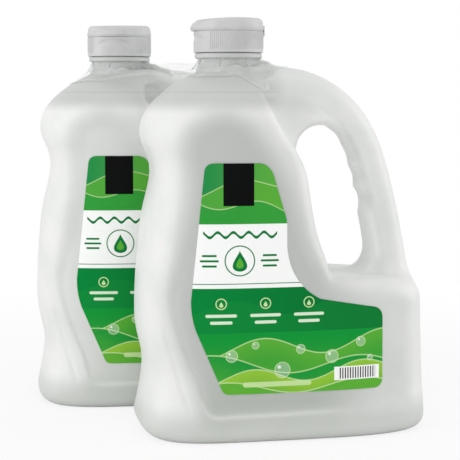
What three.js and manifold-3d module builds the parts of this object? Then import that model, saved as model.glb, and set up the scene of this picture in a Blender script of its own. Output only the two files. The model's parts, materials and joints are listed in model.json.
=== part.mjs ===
// A pack of two handled soap refill jugs with snap-top closures, joined at the necks by a clear carrier.
// Millimetres, +Z up. A jug is drawn about its neck axis, on the floor, with its front label facing -Y
// and its handle to +X.
import * as THREE from "three";
import { mergeVertices } from "three/addons/utils/BufferGeometryUtils.js";
import Module from "manifold-3d";

const wasm = await Module();
wasm.setup();

// Jug body
const BODY_WIDTH = 176;
const BODY_DEPTH = 102;
const BODY_HEIGHT = 216; // up to the foot of the neck
const NECK_OFFSET = 31.5; // from the neck axis to the middle of the body
const WALL = 1;
const BODY_SQUARENESS = 3.2; // exponent of the rounded section, where 2 is an ellipse
const FOOT_SQUARENESS = 3.8; // the same at the floor
const BODY_CREST = 15; // from the neck axis to where the body is deepest
const FOOT_RADIUS = 9; // at the left and right sides
const FRONT_FOOT_RADIUS = 6; // at the front and back
const HIP_HEIGHT = 40; // shallow hollow above the foot, on the left side
const HIP_HOLLOW = 4.6;
const BELLY_HEIGHT = 70;
const RIB_HEIGHT = 122; // where the left side starts to draw in
const RIB_SET_IN = 3.2;
const WAIST_HEIGHT = 153;
const WAIST_SET_IN = 11;
const SHOULDER_DROP = 29; // widest part of the shoulder, below the foot of the neck
const SHOULDER_SET_IN = 0.4;
const SHOULDER_FLARE = 20; // reach of the slope that runs up into the neck
const SHOULDER_SLOPE = 9; // fall of that slope
const DECK_HEIGHT = 94.5; // top of the wide lower body, under the finger gap
const DECK_FALL = 3; // from the column to the side
const DECK_EDGE_RADIUS = 13;
const SIDE_LEAN = 2; // how far the right side leans in by the deck
const COLUMN_WIDTH = 110; // of the narrow upper body, just above the deck
const COLUMN_LEAN = 11; // how far its right side leans in by the waist
const COLUMN_FILLET = 9;

// Handle
const HANDLE_THICKNESS = 30;
const HANDLE_ROUNDING = 10;
const HANDLE_ROOT = 35; // how deep the handle's plate reaches into the lower body
const HANDLE_SET_IN = 47.4; // from the left of the body to the plate's hidden edge, inside the column
const HANDLE_ENTRY = 2; // how far its top reaches into the neck
const HANDLE_BENDS = [
  [0.39, 0.12],
  [0.66, 0.3],
  [0.83, 0.55],
  [0.95, 0.83],
]; // points on its outside, as shares of the way out to the grip and down to the deck
const GRIP_WIDTH = 23;
const GRIP_SET_IN = 8; // from the side of the body to the outside of the grip, at the deck
const BRIDGE_RISE = 3.2; // top of the handle above the foot of the neck
const BRIDGE_FALL = 1.2; // along the level part of the top
const BRIDGE_LENGTH = 46; // level part of the top, from the neck axis
const GAP_HEIGHT = 89.5; // top of the finger gap above the deck
const GAP_TOP_FALL = 2; // towards the column
const GAP_GRIP = [0.47, 0.59, 0.71, 0.83]; // grip side of the gap, as shares of the handle's outside
const GAP_CORNER = 7;
const GAP_CORNER_RISE = 1;
const FINGER_COUNT = 4;
const FINGER_PITCH = 17.5;
const FINGER_MIDDLE = 0.64; // share of the handle's outside that the middle of the finger waves lies opposite
const FINGER_RADIUS = 13;
const FINGER_DEPTH = 1.8;

// Neck and mouth
const NECK_RADIUS = 17.6;
const NECK_WALL = 2;
const COLLAR_STEP = 0.6; // collar under the bead, wider than the neck
const NECK_FOOT_STEP = 0.8; // foot of the neck, wider than the collar
const BEAD_STEP = 2.6; // bead, wider than the neck
const BEAD_THICKNESS = 3;
const BEAD_RISE = 11.2; // top of the bead above the foot of the neck
const MOUTH_RISE = 10.8; // mouth above the top of the bead
const SEAL_THICKNESS = 0.3;

// Snap-top closure
const SKIRT_WALL = 2.7;
const DECK_THICKNESS = 1.4;
const POUR_HOLE_RADIUS = 4.2;
const RIM_ROUNDING = 0.8;
const LID_OVERHANG = 0.4;
const LID_BACK_HEIGHT = 7.8;
const LID_FRONT_HEIGHT = 4.7;
const LID_WALL = 1.5;
const LIP_REACH = 1.9;
const LIP_THICKNESS = 3;
const LIP_WIDTH = 17;
const PLUG_DEPTH = 1;

// Labels, measured from the neck axis
const LABEL_THICKNESS = 0.4;
const LABEL_BOTTOM = 29.5;
const LABEL_TOP = 163.5;
const LABEL_LEFT = -30.5;
const LABEL_RIGHT = 84.3;
const LABEL_WIDEST_HEIGHT = 80; // where the left edge turns in towards the bottom
const LABEL_BAND_TOP = 77; // top of the wide lower part, at its right end
const LABEL_BAND_RISE = 7;
const LABEL_FOOT_LEFT = -11;
const LABEL_HEAD_LEFT = -23;
const LABEL_HEAD_RIGHT = 16.5;
const LABEL_SIDE_RIGHT = 24; // right edge of the narrow upper part, where it starts to sweep out
const LABEL_SWEEP_HEIGHT = 117;
const LABEL_SWEEP_LENGTH = 21;
const LABEL_CORNER = 6;
const LABEL_CORNER_LEAN = 1; // how far a corner on a slanting edge is off square

// Soap
const HEADSPACE = 12; // from the soap up to the foot of the neck

// Pack
const JUG_SPACING = 5; // between the two bodies, front to back
const REAR_SHIFT_X = -52.6;
const REAR_TURN = -3.8; // degrees about the neck
const FRONT_LIP_BEARING = 183; // degrees from +X to where the thumb lip points
const REAR_LIP_BEARING = 252;

// Carrier
const CARRIER_THICKNESS = 0.8;
const CARRIER_MARGIN = 15.8; // film outside the neck holes
const CARRIER_WAIST = 25; // half its width midway between the necks

// Clearances
const GAP = 0.3; // between pieces that touch on the real pack
const FIT = 0.6; // closure round the neck
const MERGE = 1e-4; // points nearer than this are one

// Facets
const RING_POINTS = 24;
const RING_SPACING = 7; // least height between the sections that the left and depth outlines add
const ROUND_POINTS = 32;
const CURVE_STEPS = 2;
const BEVEL_STEPS = 2;
const HANDLE_POINTS = 14;
const FINGER_FACETS = 18;

const degrees = Math.PI / 180;
const bodyLeft = NECK_OFFSET - BODY_WIDTH / 2;
const bodyRight = NECK_OFFSET + BODY_WIDTH / 2;
const columnRight = bodyLeft + COLUMN_WIDTH;
const shoulderHeight = BODY_HEIGHT - SHOULDER_DROP;
const collarRadius = NECK_RADIUS + COLLAR_STEP;
const neckFootRadius = collarRadius + NECK_FOOT_STEP;
const beadTop = BODY_HEIGHT + BEAD_RISE;
const mouthHeight = beadTop + MOUTH_RISE;
const sealBottom = mouthHeight + GAP;
const skirtRadius = NECK_RADIUS + FIT + SKIRT_WALL;
const closureBottom = beadTop + GAP;
const closureTop = sealBottom + SEAL_THICKNESS + GAP + DECK_THICKNESS;
const lidRadius = skirtRadius + LID_OVERHANG;
const lidBottom = closureTop + GAP;
const rearShiftY = BODY_DEPTH + JUG_SPACING;

// A closed geometry as a solid that can be joined and cut.
function solid(geometry) {
  const bare = new THREE.BufferGeometry();
  bare.setAttribute("position", geometry.getAttribute("position").clone());
  bare.setIndex(geometry.index);
  const merged = mergeVertices(bare, MERGE);
  const corners = merged.index.array;
  const triangles = [];
  for (let i = 0; i < corners.length; i += 3) {
    const [a, b, c] = [corners[i], corners[i + 1], corners[i + 2]];
    if (a !== b && b !== c && c !== a) triangles.push(a, b, c);
  }
  const build = (order) =>
    new wasm.Manifold(
      new wasm.Mesh({
        numProp: 3,
        vertProperties: new Float32Array(merged.attributes.position.array),
        triVerts: new Uint32Array(order),
      }),
    );
  const made = build(triangles);
  return made.volume() < 0 ? build(triangles.reverse()) : made;
}

// A joined or cut solid as a geometry again.
function geometryOf(made) {
  const mesh = made.getMesh();
  const geometry = new THREE.BufferGeometry();
  geometry.setAttribute("position", new THREE.BufferAttribute(mesh.vertProperties, 3));
  geometry.setIndex(new THREE.BufferAttribute(mesh.triVerts, 1));
  geometry.computeVertexNormals();
  return geometry;
}

// A solid turned round the Z axis from a profile of [radius, height] points.
function turned(profile) {
  const points = profile.map(([radius, height]) => new THREE.Vector2(radius, height));
  return solid(new THREE.LatheGeometry(points, ROUND_POINTS).rotateX(Math.PI / 2));
}

// An upright solid of one height over a shape drawn in plan.
function upright(shape, bottom, height) {
  const geometry = new THREE.ExtrudeGeometry(shape, {
    depth: height,
    bevelEnabled: false,
    curveSegments: ROUND_POINTS / 2,
  });
  return solid(geometry.translate(0, 0, bottom));
}

// A solid through the jug from front to back, over a shape drawn in the front view, with rounded edges.
function frontToBack(shape, thickness, rounding, inset) {
  const radius = rounding - inset;
  const flat = thickness - 2 * rounding;
  const geometry = new THREE.ExtrudeGeometry(shape, {
    depth: flat,
    bevelEnabled: rounding > 0,
    bevelThickness: radius,
    bevelSize: radius,
    bevelOffset: -rounding,
    bevelSegments: BEVEL_STEPS,
    curveSegments: CURVE_STEPS,
  });
  return solid(geometry.translate(0, 0, -flat / 2).rotateX(Math.PI / 2));
}

function box(width, depth, height, x, y, z) {
  return solid(new THREE.BoxGeometry(width, depth, height).translate(x, y, z));
}

// The outlines below run from the floor up to the foot of the neck.
function leftOutline() {
  const outline = new THREE.Path();
  outline.moveTo(bodyLeft + FOOT_RADIUS, 0);
  outline.absarc(bodyLeft + FOOT_RADIUS, FOOT_RADIUS, FOOT_RADIUS, -Math.PI / 2, -Math.PI, true);
  outline.splineThru([
    new THREE.Vector2(bodyLeft + HIP_HOLLOW, HIP_HEIGHT),
    new THREE.Vector2(bodyLeft, BELLY_HEIGHT),
    new THREE.Vector2(bodyLeft + RIB_SET_IN, RIB_HEIGHT),
    new THREE.Vector2(bodyLeft + WAIST_SET_IN, WAIST_HEIGHT),
    new THREE.Vector2(bodyLeft + SHOULDER_SET_IN, shoulderHeight),
  ]);
  outline.bezierCurveTo(
    bodyLeft + SHOULDER_SET_IN,
    BODY_HEIGHT - SHOULDER_DROP / 2,
    -neckFootRadius - SHOULDER_FLARE,
    BODY_HEIGHT - SHOULDER_SLOPE,
    -neckFootRadius,
    BODY_HEIGHT,
  );
  return outline.getPoints(CURVE_STEPS);
}

function rightOutline() {
  const edgeX = bodyRight - SIDE_LEAN - DECK_EDGE_RADIUS;
  const edgeZ = DECK_HEIGHT - DECK_FALL - DECK_EDGE_RADIUS;
  const deckSlope = Math.atan2(DECK_FALL, edgeX - columnRight - COLUMN_FILLET);
  const outline = new THREE.Path();
  outline.moveTo(bodyRight - FOOT_RADIUS, 0);
  outline.absarc(bodyRight - FOOT_RADIUS, FOOT_RADIUS, FOOT_RADIUS, -Math.PI / 2, 0, false);
  outline.absarc(edgeX, edgeZ, DECK_EDGE_RADIUS, 0, Math.PI / 2 - deckSlope, false);
  outline.lineTo(columnRight + COLUMN_FILLET, DECK_HEIGHT);
  outline.quadraticCurveTo(columnRight, DECK_HEIGHT, columnRight, DECK_HEIGHT + COLUMN_FILLET);
  outline.splineThru([
    new THREE.Vector2(columnRight - COLUMN_LEAN / 2, (DECK_HEIGHT + WAIST_HEIGHT) / 2),
    new THREE.Vector2(columnRight - COLUMN_LEAN, WAIST_HEIGHT),
    new THREE.Vector2(neckFootRadius + NECK_FOOT_STEP, shoulderHeight),
    new THREE.Vector2(neckFootRadius, BODY_HEIGHT),
  ]);
  return outline.getPoints(CURVE_STEPS);
}

function depthOutline() {
  const half = BODY_DEPTH / 2;
  const outline = new THREE.Path();
  const footY = half - FRONT_FOOT_RADIUS;
  outline.moveTo(footY, 0);
  outline.absarc(footY, FRONT_FOOT_RADIUS, FRONT_FOOT_RADIUS, -Math.PI / 2, 0, false);
  outline.lineTo(half, shoulderHeight);
  outline.bezierCurveTo(
    half,
    BODY_HEIGHT - SHOULDER_DROP / 2,
    neckFootRadius + SHOULDER_FLARE,
    BODY_HEIGHT - SHOULDER_SLOPE,
    neckFootRadius,
    BODY_HEIGHT,
  );
  return outline.getPoints(CURVE_STEPS);
}

// Moves an outline into the body by a distance; side is 1 for the left outline and -1 for the others.
function movedIn(outline, side, distance) {
  return outline.map((point, i) => {
    const along = outline[Math.min(i + 1, outline.length - 1)]
      .clone()
      .sub(outline[Math.max(i - 1, 0)])
      .normalize();
    return new THREE.Vector2(point.x + side * along.y * distance, point.y - side * along.x * distance);
  });
}

// Where an outline stands at a height.
function across(outline, height) {
  const above = outline.findIndex((point) => point.y >= height);
  if (above === 0) return outline[0].x;
  if (above < 0) return outline[outline.length - 1].x;
  const [low, high] = [outline[above - 1], outline[above]];
  return THREE.MathUtils.mapLinear(height, low.y, high.y, low.x, high.x);
}

// The outline points whose heights carry a section: all of the right outline's, and others well apart.
function sectionMarks(outlines) {
  const marks = [];
  for (const [name, outline] of Object.entries(outlines)) {
    outline.forEach((point, index) => {
      const heightOf = (mark) => outlines[mark.name][mark.index].y;
      const apart = marks.every((mark) => Math.abs(heightOf(mark) - point.y) > RING_SPACING);
      if (name === "right" || apart) marks.push({ name, index });
    });
  }
  return marks;
}

// The jug's body without neck or handle, as rounded sections on top of each other, drawn in by an inset.
function body(inset) {
  const outlines = { right: rightOutline(), left: leftOutline(), depth: depthOutline() };
  const moved = {
    right: movedIn(outlines.right, -1, inset),
    left: movedIn(outlines.left, 1, inset),
    depth: movedIn(outlines.depth, -1, inset),
  };
  const { right, left, depth } = moved;
  const heights = sectionMarks(outlines)
    .map((mark) => moved[mark.name][mark.index].y)
    .sort((a, b) => a - b);

  const positions = [];
  for (const height of heights) {
    const footward = 1 - THREE.MathUtils.smoothstep(height, 0, HIP_HEIGHT);
    const neckward = THREE.MathUtils.smoothstep(height, WAIST_HEIGHT, BODY_HEIGHT);
    const squareness = THREE.MathUtils.lerp(BODY_SQUARENESS, FOOT_SQUARENESS, footward);
    const crest = THREE.MathUtils.lerp(BODY_CREST, 0, neckward);
    const power = 2 / THREE.MathUtils.lerp(squareness, 2, neckward);
    for (let k = 0; k < RING_POINTS; k++) {
      const angle = (2 * Math.PI * k) / RING_POINTS;
      const [c, s] = [Math.cos(angle), Math.sin(angle)];
      const side = across(c > 0 ? right : left, height);
      positions.push(
        crest + (side - crest) * Math.abs(c) ** power,
        across(depth, height) * Math.sign(s) * Math.abs(s) ** power,
        height,
      );
    }
  }
  return solid(ringSkin(positions, heights.length));
}

// A closed skin over stacked rings of points, with flat ends.
function ringSkin(positions, rings) {
  const index = [];
  for (let ring = 0; ring < rings - 1; ring++) {
    for (let k = 0; k < RING_POINTS; k++) {
      const next = (k + 1) % RING_POINTS;
      const [a, b] = [ring * RING_POINTS + k, ring * RING_POINTS + next];
      index.push(a, b, b + RING_POINTS, a, b + RING_POINTS, a + RING_POINTS);
    }
  }
  const last = (rings - 1) * RING_POINTS;
  for (let k = 1; k < RING_POINTS - 1; k++) {
    index.push(0, k + 1, k, last, last + k, last + k + 1);
  }
  const geometry = new THREE.BufferGeometry();
  geometry.setAttribute("position", new THREE.Float32BufferAttribute(positions, 3));
  geometry.setIndex(index);
  return geometry;
}

// The outside edge of the handle, from the neck over the top and down to its root in the lower body.
function handleEdge() {
  const top = BODY_HEIGHT + BRIDGE_RISE;
  const grip = bodyRight - GRIP_SET_IN;
  const bends = HANDLE_BENDS.map(
    ([out, down]) =>
      new THREE.Vector2(
        THREE.MathUtils.lerp(BRIDGE_LENGTH, grip, out),
        THREE.MathUtils.lerp(top, DECK_HEIGHT, down),
      ),
  );
  return new THREE.SplineCurve([
    new THREE.Vector2(collarRadius - HANDLE_ENTRY, top),
    new THREE.Vector2(BRIDGE_LENGTH, top - BRIDGE_FALL),
    ...bends,
    new THREE.Vector2(grip, DECK_HEIGHT),
    new THREE.Vector2(grip, DECK_HEIGHT - HANDLE_ROOT / 2),
  ]);
}

// The point on the inner side of the grip, opposite a share of the handle's outside edge.
function gripPoint(edge, share, width) {
  const along = edge.getTangentAt(share);
  const outside = edge.getPointAt(share);
  return new THREE.Vector2(outside.x + along.y * width, outside.y - along.x * width);
}

// The handle as a plate with rounded edges, reaching into the body, with a gap and waves for the fingers.
function handle(inset) {
  const edge = handleEdge();
  const plateLeft = bodyLeft + HANDLE_SET_IN;
  const plateBottom = DECK_HEIGHT - HANDLE_ROOT;
  const plate = new THREE.Shape();
  plate.moveTo(plateLeft, plateBottom);
  plate.lineTo(bodyRight - 2 * HANDLE_ROUNDING, plateBottom);
  for (const point of edge.getSpacedPoints(HANDLE_POINTS).reverse()) plate.lineTo(point.x, point.y);
  plate.lineTo(plateLeft, BODY_HEIGHT - HANDLE_ROUNDING);
  plate.closePath();
  plate.holes.push(fingerGap(edge));

  const made = frontToBack(plate, HANDLE_THICKNESS, HANDLE_ROUNDING, inset);
  return made.subtract(fingerWaves(edge, inset));
}

// The gap between the column and the grip, which runs on inside the column and the deck.
function fingerGap(edge) {
  const leanRight = columnRight - COLUMN_LEAN;
  const top = DECK_HEIGHT + GAP_HEIGHT;
  const bottom = DECK_HEIGHT - HANDLE_ROUNDING / 2;
  const gripSide = GAP_GRIP.map((share) => gripPoint(edge, share, GRIP_WIDTH));
  const lowest = gripSide[gripSide.length - 1];
  const gap = new THREE.Path();
  gap.moveTo(leanRight - 2 * HANDLE_ROUNDING, WAIST_HEIGHT);
  gap.lineTo(leanRight - HANDLE_ROUNDING / 2, WAIST_HEIGHT + COLUMN_FILLET);
  gap.splineThru([
    new THREE.Vector2(columnRight - HANDLE_ROUNDING / 2, top - GAP_TOP_FALL),
    new THREE.Vector2(columnRight + HANDLE_ROUNDING / 2, top),
    ...gripSide,
    new THREE.Vector2(lowest.x - GAP_CORNER, DECK_HEIGHT + GAP_CORNER_RISE),
    new THREE.Vector2(lowest.x - 2 * HANDLE_ROUNDING, bottom),
  ]);
  gap.lineTo(columnRight - 2 * HANDLE_ROUNDING, bottom);
  gap.closePath();
  return gap;
}

// Round bars along the inner side of the grip that press in the finger waves.
function fingerWaves(edge, inset) {
  const pitch = FINGER_PITCH / edge.getLength();
  const radius = FINGER_RADIUS + inset;
  const bars = [];
  for (let finger = 0; finger < FINGER_COUNT; finger++) {
    const share = FINGER_MIDDLE + (finger - (FINGER_COUNT - 1) / 2) * pitch;
    const centre = gripPoint(edge, share, GRIP_WIDTH - FINGER_DEPTH + FINGER_RADIUS);
    const bar = new THREE.CylinderGeometry(radius, radius, HANDLE_THICKNESS, FINGER_FACETS);
    bars.push(solid(bar.translate(centre.x, 0, centre.y)));
  }
  return bars.reduce((joined, bar) => joined.add(bar));
}

function neck() {
  const beadRadius = NECK_RADIUS + BEAD_STEP;
  const beadBottom = beadTop - BEAD_THICKNESS;
  return turned([
    [0, shoulderHeight],
    [collarRadius, shoulderHeight],
    [collarRadius, beadBottom],
    [beadRadius, beadBottom],
    [beadRadius, beadTop],
    [NECK_RADIUS, beadTop],
    [NECK_RADIUS, mouthHeight],
    [0, mouthHeight],
  ]);
}

function bore() {
  const radius = NECK_RADIUS - NECK_WALL;
  return turned([
    [0, shoulderHeight],
    [radius, shoulderHeight],
    [radius, mouthHeight + WALL],
    [0, mouthHeight + WALL],
  ]);
}

function jug() {
  const outside = body(0).add(handle(0)).add(neck());
  const inside = body(WALL).add(handle(WALL)).add(bore());
  return outside.subtract(inside);
}

function soap() {
  const inset = WALL + GAP;
  const filled = body(inset).add(handle(inset));
  const level = BODY_HEIGHT - HEADSPACE;
  const room = box(2 * BODY_WIDTH, 2 * BODY_DEPTH, BODY_HEIGHT, NECK_OFFSET, 0, level + BODY_HEIGHT / 2);
  return filled.subtract(room);
}

// The die-cut outline shared by both labels, in the front view.
function labelShape() {
  const bandRight = LABEL_RIGHT - LABEL_CORNER;
  const sweepEnd = LABEL_SIDE_RIGHT + LABEL_SWEEP_LENGTH;
  const shape = new THREE.Shape();
  shape.moveTo(LABEL_FOOT_LEFT + LABEL_CORNER / 2, LABEL_BOTTOM);
  shape.lineTo(bandRight, LABEL_BOTTOM);
  shape.quadraticCurveTo(LABEL_RIGHT, LABEL_BOTTOM, LABEL_RIGHT, LABEL_BOTTOM + LABEL_CORNER);
  shape.lineTo(LABEL_RIGHT, LABEL_BAND_TOP - LABEL_CORNER);
  shape.quadraticCurveTo(LABEL_RIGHT, LABEL_BAND_TOP, bandRight, LABEL_BAND_TOP + LABEL_CORNER_LEAN);
  shape.lineTo(sweepEnd, LABEL_BAND_TOP + LABEL_BAND_RISE);
  shape.bezierCurveTo(
    LABEL_SIDE_RIGHT + LABEL_SWEEP_LENGTH / 3,
    LABEL_BAND_TOP + 2 * LABEL_BAND_RISE,
    LABEL_SIDE_RIGHT,
    LABEL_SWEEP_HEIGHT - LABEL_SWEEP_LENGTH / 2,
    LABEL_SIDE_RIGHT,
    LABEL_SWEEP_HEIGHT,
  );
  shape.lineTo(LABEL_HEAD_RIGHT, LABEL_TOP - LABEL_CORNER);
  shape.quadraticCurveTo(
    LABEL_HEAD_RIGHT - LABEL_CORNER_LEAN,
    LABEL_TOP,
    LABEL_HEAD_RIGHT - LABEL_CORNER,
    LABEL_TOP,
  );
  shape.lineTo(LABEL_HEAD_LEFT + LABEL_CORNER, LABEL_TOP);
  shape.quadraticCurveTo(LABEL_HEAD_LEFT, LABEL_TOP, LABEL_HEAD_LEFT, LABEL_TOP - LABEL_CORNER);
  shape.lineTo(LABEL_LEFT, LABEL_WIDEST_HEIGHT + LABEL_CORNER);
  shape.quadraticCurveTo(
    LABEL_LEFT,
    LABEL_WIDEST_HEIGHT,
    LABEL_LEFT + LABEL_CORNER / 2,
    LABEL_WIDEST_HEIGHT - 2 * LABEL_CORNER,
  );
  shape.lineTo(LABEL_FOOT_LEFT, LABEL_BOTTOM + LABEL_CORNER / 3);
  shape.quadraticCurveTo(LABEL_FOOT_LEFT, LABEL_BOTTOM, LABEL_FOOT_LEFT + LABEL_CORNER / 2, LABEL_BOTTOM);
  return shape;
}

// A label wrapped on the front (side -1) or the back (side 1) of the body.
function label(side) {
  const cutter = frontToBack(labelShape(), BODY_DEPTH, 0, 0).translate([0, (side * BODY_DEPTH) / 2, 0]);
  const skin = body(-GAP - LABEL_THICKNESS).subtract(body(-GAP));
  return skin.intersect(cutter);
}

function mouthSeal() {
  return turned([
    [0, sealBottom],
    [NECK_RADIUS, sealBottom],
    [NECK_RADIUS, sealBottom + SEAL_THICKNESS],
    [0, sealBottom + SEAL_THICKNESS],
  ]);
}

function closure() {
  const inside = NECK_RADIUS + FIT;
  const underDeck = closureTop - DECK_THICKNESS;
  return turned([
    [inside, closureBottom],
    [skirtRadius, closureBottom],
    [skirtRadius, closureTop - RIM_ROUNDING],
    [skirtRadius - RIM_ROUNDING, closureTop],
    [POUR_HOLE_RADIUS, closureTop],
    [POUR_HOLE_RADIUS, underDeck],
    [inside, underDeck],
    [inside, closureBottom],
  ]);
}

// The flip lid, its thumb lip to +X and its hinge to -X: a cup with a sloping top and a plug for the hole.
function lid() {
  const top = lidBottom + LID_BACK_HEIGHT;
  const ceiling = lidBottom + LID_FRONT_HEIGHT - LID_WALL;
  const plugBottom = closureTop - PLUG_DEPTH;
  const blank = turned([
    [0, lidBottom],
    [lidRadius, lidBottom],
    [lidRadius, top - RIM_ROUNDING],
    [lidRadius - RIM_ROUNDING, top],
    [0, top],
  ]);
  const lipRound = turned([
    [0, lidBottom],
    [lidRadius + LIP_REACH, lidBottom],
    [lidRadius + LIP_REACH, lidBottom + LIP_THICKNESS],
    [0, lidBottom + LIP_THICKNESS],
  ]);
  const lipRoom = box(2 * lidRadius, LIP_WIDTH, 2 * LIP_THICKNESS, lidRadius, 0, lidBottom + LIP_THICKNESS);
  const lip = lipRound.intersect(lipRoom);
  const slope = Math.atan2(LID_BACK_HEIGHT - LID_FRONT_HEIGHT, 2 * lidRadius);
  const above = new THREE.BoxGeometry(4 * lidRadius, 4 * lidRadius, LID_BACK_HEIGHT)
    .translate(2 * lidRadius, 0, LID_BACK_HEIGHT / 2)
    .rotateY(slope)
    .translate(-lidRadius, 0, top);
  const hollow = turned([
    [0, lidBottom - LID_WALL],
    [lidRadius - LID_WALL, lidBottom - LID_WALL],
    [lidRadius - LID_WALL, ceiling],
    [0, ceiling],
  ]);
  const plug = turned([
    [0, plugBottom],
    [POUR_HOLE_RADIUS - GAP, plugBottom],
    [POUR_HOLE_RADIUS - GAP, ceiling + LID_WALL / 2],
    [0, ceiling + LID_WALL / 2],
  ]);
  return blank.subtract(solid(above)).add(lip).subtract(hollow).add(plug);
}

// The clear film, flat under the beads of both necks, drawn along +X from the front neck to the rear one.
function carrier() {
  const length = Math.hypot(REAR_SHIFT_X, rearShiftY);
  const hole = collarRadius + GAP;
  const end = hole + CARRIER_MARGIN;
  const pull = 2 * CARRIER_WAIST - end;
  const shape = new THREE.Shape();
  shape.moveTo(0, -end);
  shape.quadraticCurveTo(length / 2, -pull, length, -end);
  shape.absarc(length, 0, end, -Math.PI / 2, Math.PI / 2, false);
  shape.quadraticCurveTo(length / 2, pull, 0, end);
  shape.absarc(0, 0, end, Math.PI / 2, 1.5 * Math.PI, false);
  for (const x of [0, length]) {
    const round = new THREE.Path();
    round.absarc(x, 0, hole, 0, 2 * Math.PI, true);
    shape.holes.push(round);
  }
  const top = beadTop - BEAD_THICKNESS - GAP;
  return upright(shape, top - CARRIER_THICKNESS, CARRIER_THICKNESS);
}

function piece(name, made, colour, roughness, opacity = 1) {
  const material = new THREE.MeshStandardMaterial({ color: colour, roughness, metalness: 0 });
  material.opacity = opacity;
  material.transparent = opacity < 1;
  const mesh = new THREE.Mesh(geometryOf(made), material);
  mesh.name = name;
  return mesh;
}

const shapes = {
  jug: jug(),
  soap: soap(),
  frontLabel: label(-1),
  backLabel: label(1),
  seal: mouthSeal(),
  closure: closure(),
  lid: lid(),
};

// One jug with everything on it; lipBearing is the direction of the thumb lip.
function filledJug(prefix, lipBearing) {
  const group = new THREE.Group();
  group.add(
    piece(prefix + "jug", shapes.jug, 0xe9ece8, 0.42, 0.9),
    piece(prefix + "soap", shapes.soap, 0xf3f4ef, 0.5),
    piece(prefix + "front_label", shapes.frontLabel, 0x3f9b3a, 0.38),
    piece(prefix + "back_label", shapes.backLabel, 0xf4f6f2, 0.38),
    piece(prefix + "mouth_seal", shapes.seal, 0xc9ccd0, 0.35),
  );
  const top = new THREE.Group();
  top.add(
    piece(prefix + "closure", shapes.closure, 0xf6f7f6, 0.36),
    piece(prefix + "lid", shapes.lid, 0xf6f7f6, 0.36),
  );
  top.rotation.z = lipBearing * degrees;
  group.add(top);
  return group;
}

const front = filledJug("front_", FRONT_LIP_BEARING);
const rear = filledJug("rear_", REAR_LIP_BEARING - REAR_TURN);
rear.position.set(REAR_SHIFT_X, rearShiftY, 0);
rear.rotation.z = REAR_TURN * degrees;
const film = piece("neck_carrier", carrier(), 0xf2f6f5, 0.15, 0.3);
film.rotation.z = Math.atan2(rearShiftY, REAR_SHIFT_X);

// The pack's origin is on the floor under the middle of its bounding box.
const contents = new THREE.Group();
contents.add(front, rear, film);
const middle = new THREE.Box3().setFromObject(contents, true).getCenter(new THREE.Vector3());
contents.position.set(-middle.x, -middle.y, 0);
const pack = new THREE.Group();
pack.add(contents);

export default pack;
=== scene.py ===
import json
import math

import bpy
import numpy as np
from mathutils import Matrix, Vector
from mathutils.geometry import delaunay_2d_cdt


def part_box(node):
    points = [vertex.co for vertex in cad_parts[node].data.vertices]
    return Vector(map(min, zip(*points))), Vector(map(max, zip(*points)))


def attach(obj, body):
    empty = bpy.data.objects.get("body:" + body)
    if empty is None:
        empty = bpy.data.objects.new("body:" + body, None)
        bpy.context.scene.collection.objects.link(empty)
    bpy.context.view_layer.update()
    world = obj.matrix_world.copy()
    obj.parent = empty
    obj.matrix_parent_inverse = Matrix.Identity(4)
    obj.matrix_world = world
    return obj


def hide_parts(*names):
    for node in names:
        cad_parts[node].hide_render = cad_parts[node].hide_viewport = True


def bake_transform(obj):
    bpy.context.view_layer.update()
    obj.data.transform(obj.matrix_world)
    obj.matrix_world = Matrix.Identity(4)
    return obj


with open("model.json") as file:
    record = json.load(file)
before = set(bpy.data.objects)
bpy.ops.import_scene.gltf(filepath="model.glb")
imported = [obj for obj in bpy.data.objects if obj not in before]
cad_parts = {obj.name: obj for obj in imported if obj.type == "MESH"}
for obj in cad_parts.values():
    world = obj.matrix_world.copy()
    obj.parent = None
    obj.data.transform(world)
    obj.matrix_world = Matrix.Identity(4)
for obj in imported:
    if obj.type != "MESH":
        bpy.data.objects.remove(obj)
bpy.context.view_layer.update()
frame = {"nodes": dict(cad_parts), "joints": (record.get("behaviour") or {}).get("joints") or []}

# A pack of two handled soap refill jugs with snap-top closures, joined at the necks by a clear film carrier.
# Sizes are in millimetres. A jug is shaped about its neck axis, on the floor, with its front facing -Y and
# its handle to +X, and is then put in its place in the pack, in metres.
MM = 0.001
JUGS = ("front", "rear")
SKIN_STEP = 1.4  # spacing of the points on the jug's outside
HIDDEN_STEP = 3.0  # the same on the inside wall and the soap
NECK_SIDES = 96
CAP_SIDES = 180
SHARP_ANGLE = 40  # degrees, on jugs and closures


# Places that the frame gives

def joint_place(name):
    """Where a joint is, in millimetres."""
    joint = next(j for j in frame["joints"] if j["name"] == name)
    return np.array(joint["pos_m"]) / MM


def node_box(name):
    return [np.array(corner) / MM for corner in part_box(name)]


def bearing(name):
    """Direction of a closure's thumb lip, which is opposite its hinge."""
    away = joint_place(f"{name}_closure_turn") - joint_place(f"{name}_lid_flip")
    return math.atan2(away[1], away[0])


NECK = {name: joint_place(f"{name}_closure_turn")[:2] for name in JUGS}
JUG_TURN = {"front": 0.0, "rear": math.radians(-3.8)}
LIP_BEARING = {name: bearing(name) for name in JUGS}
jug_low, jug_high = node_box("front_jug")
closure_low, closure_high = node_box("front_closure")
lid_top = node_box("front_lid")[1][2]

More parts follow.
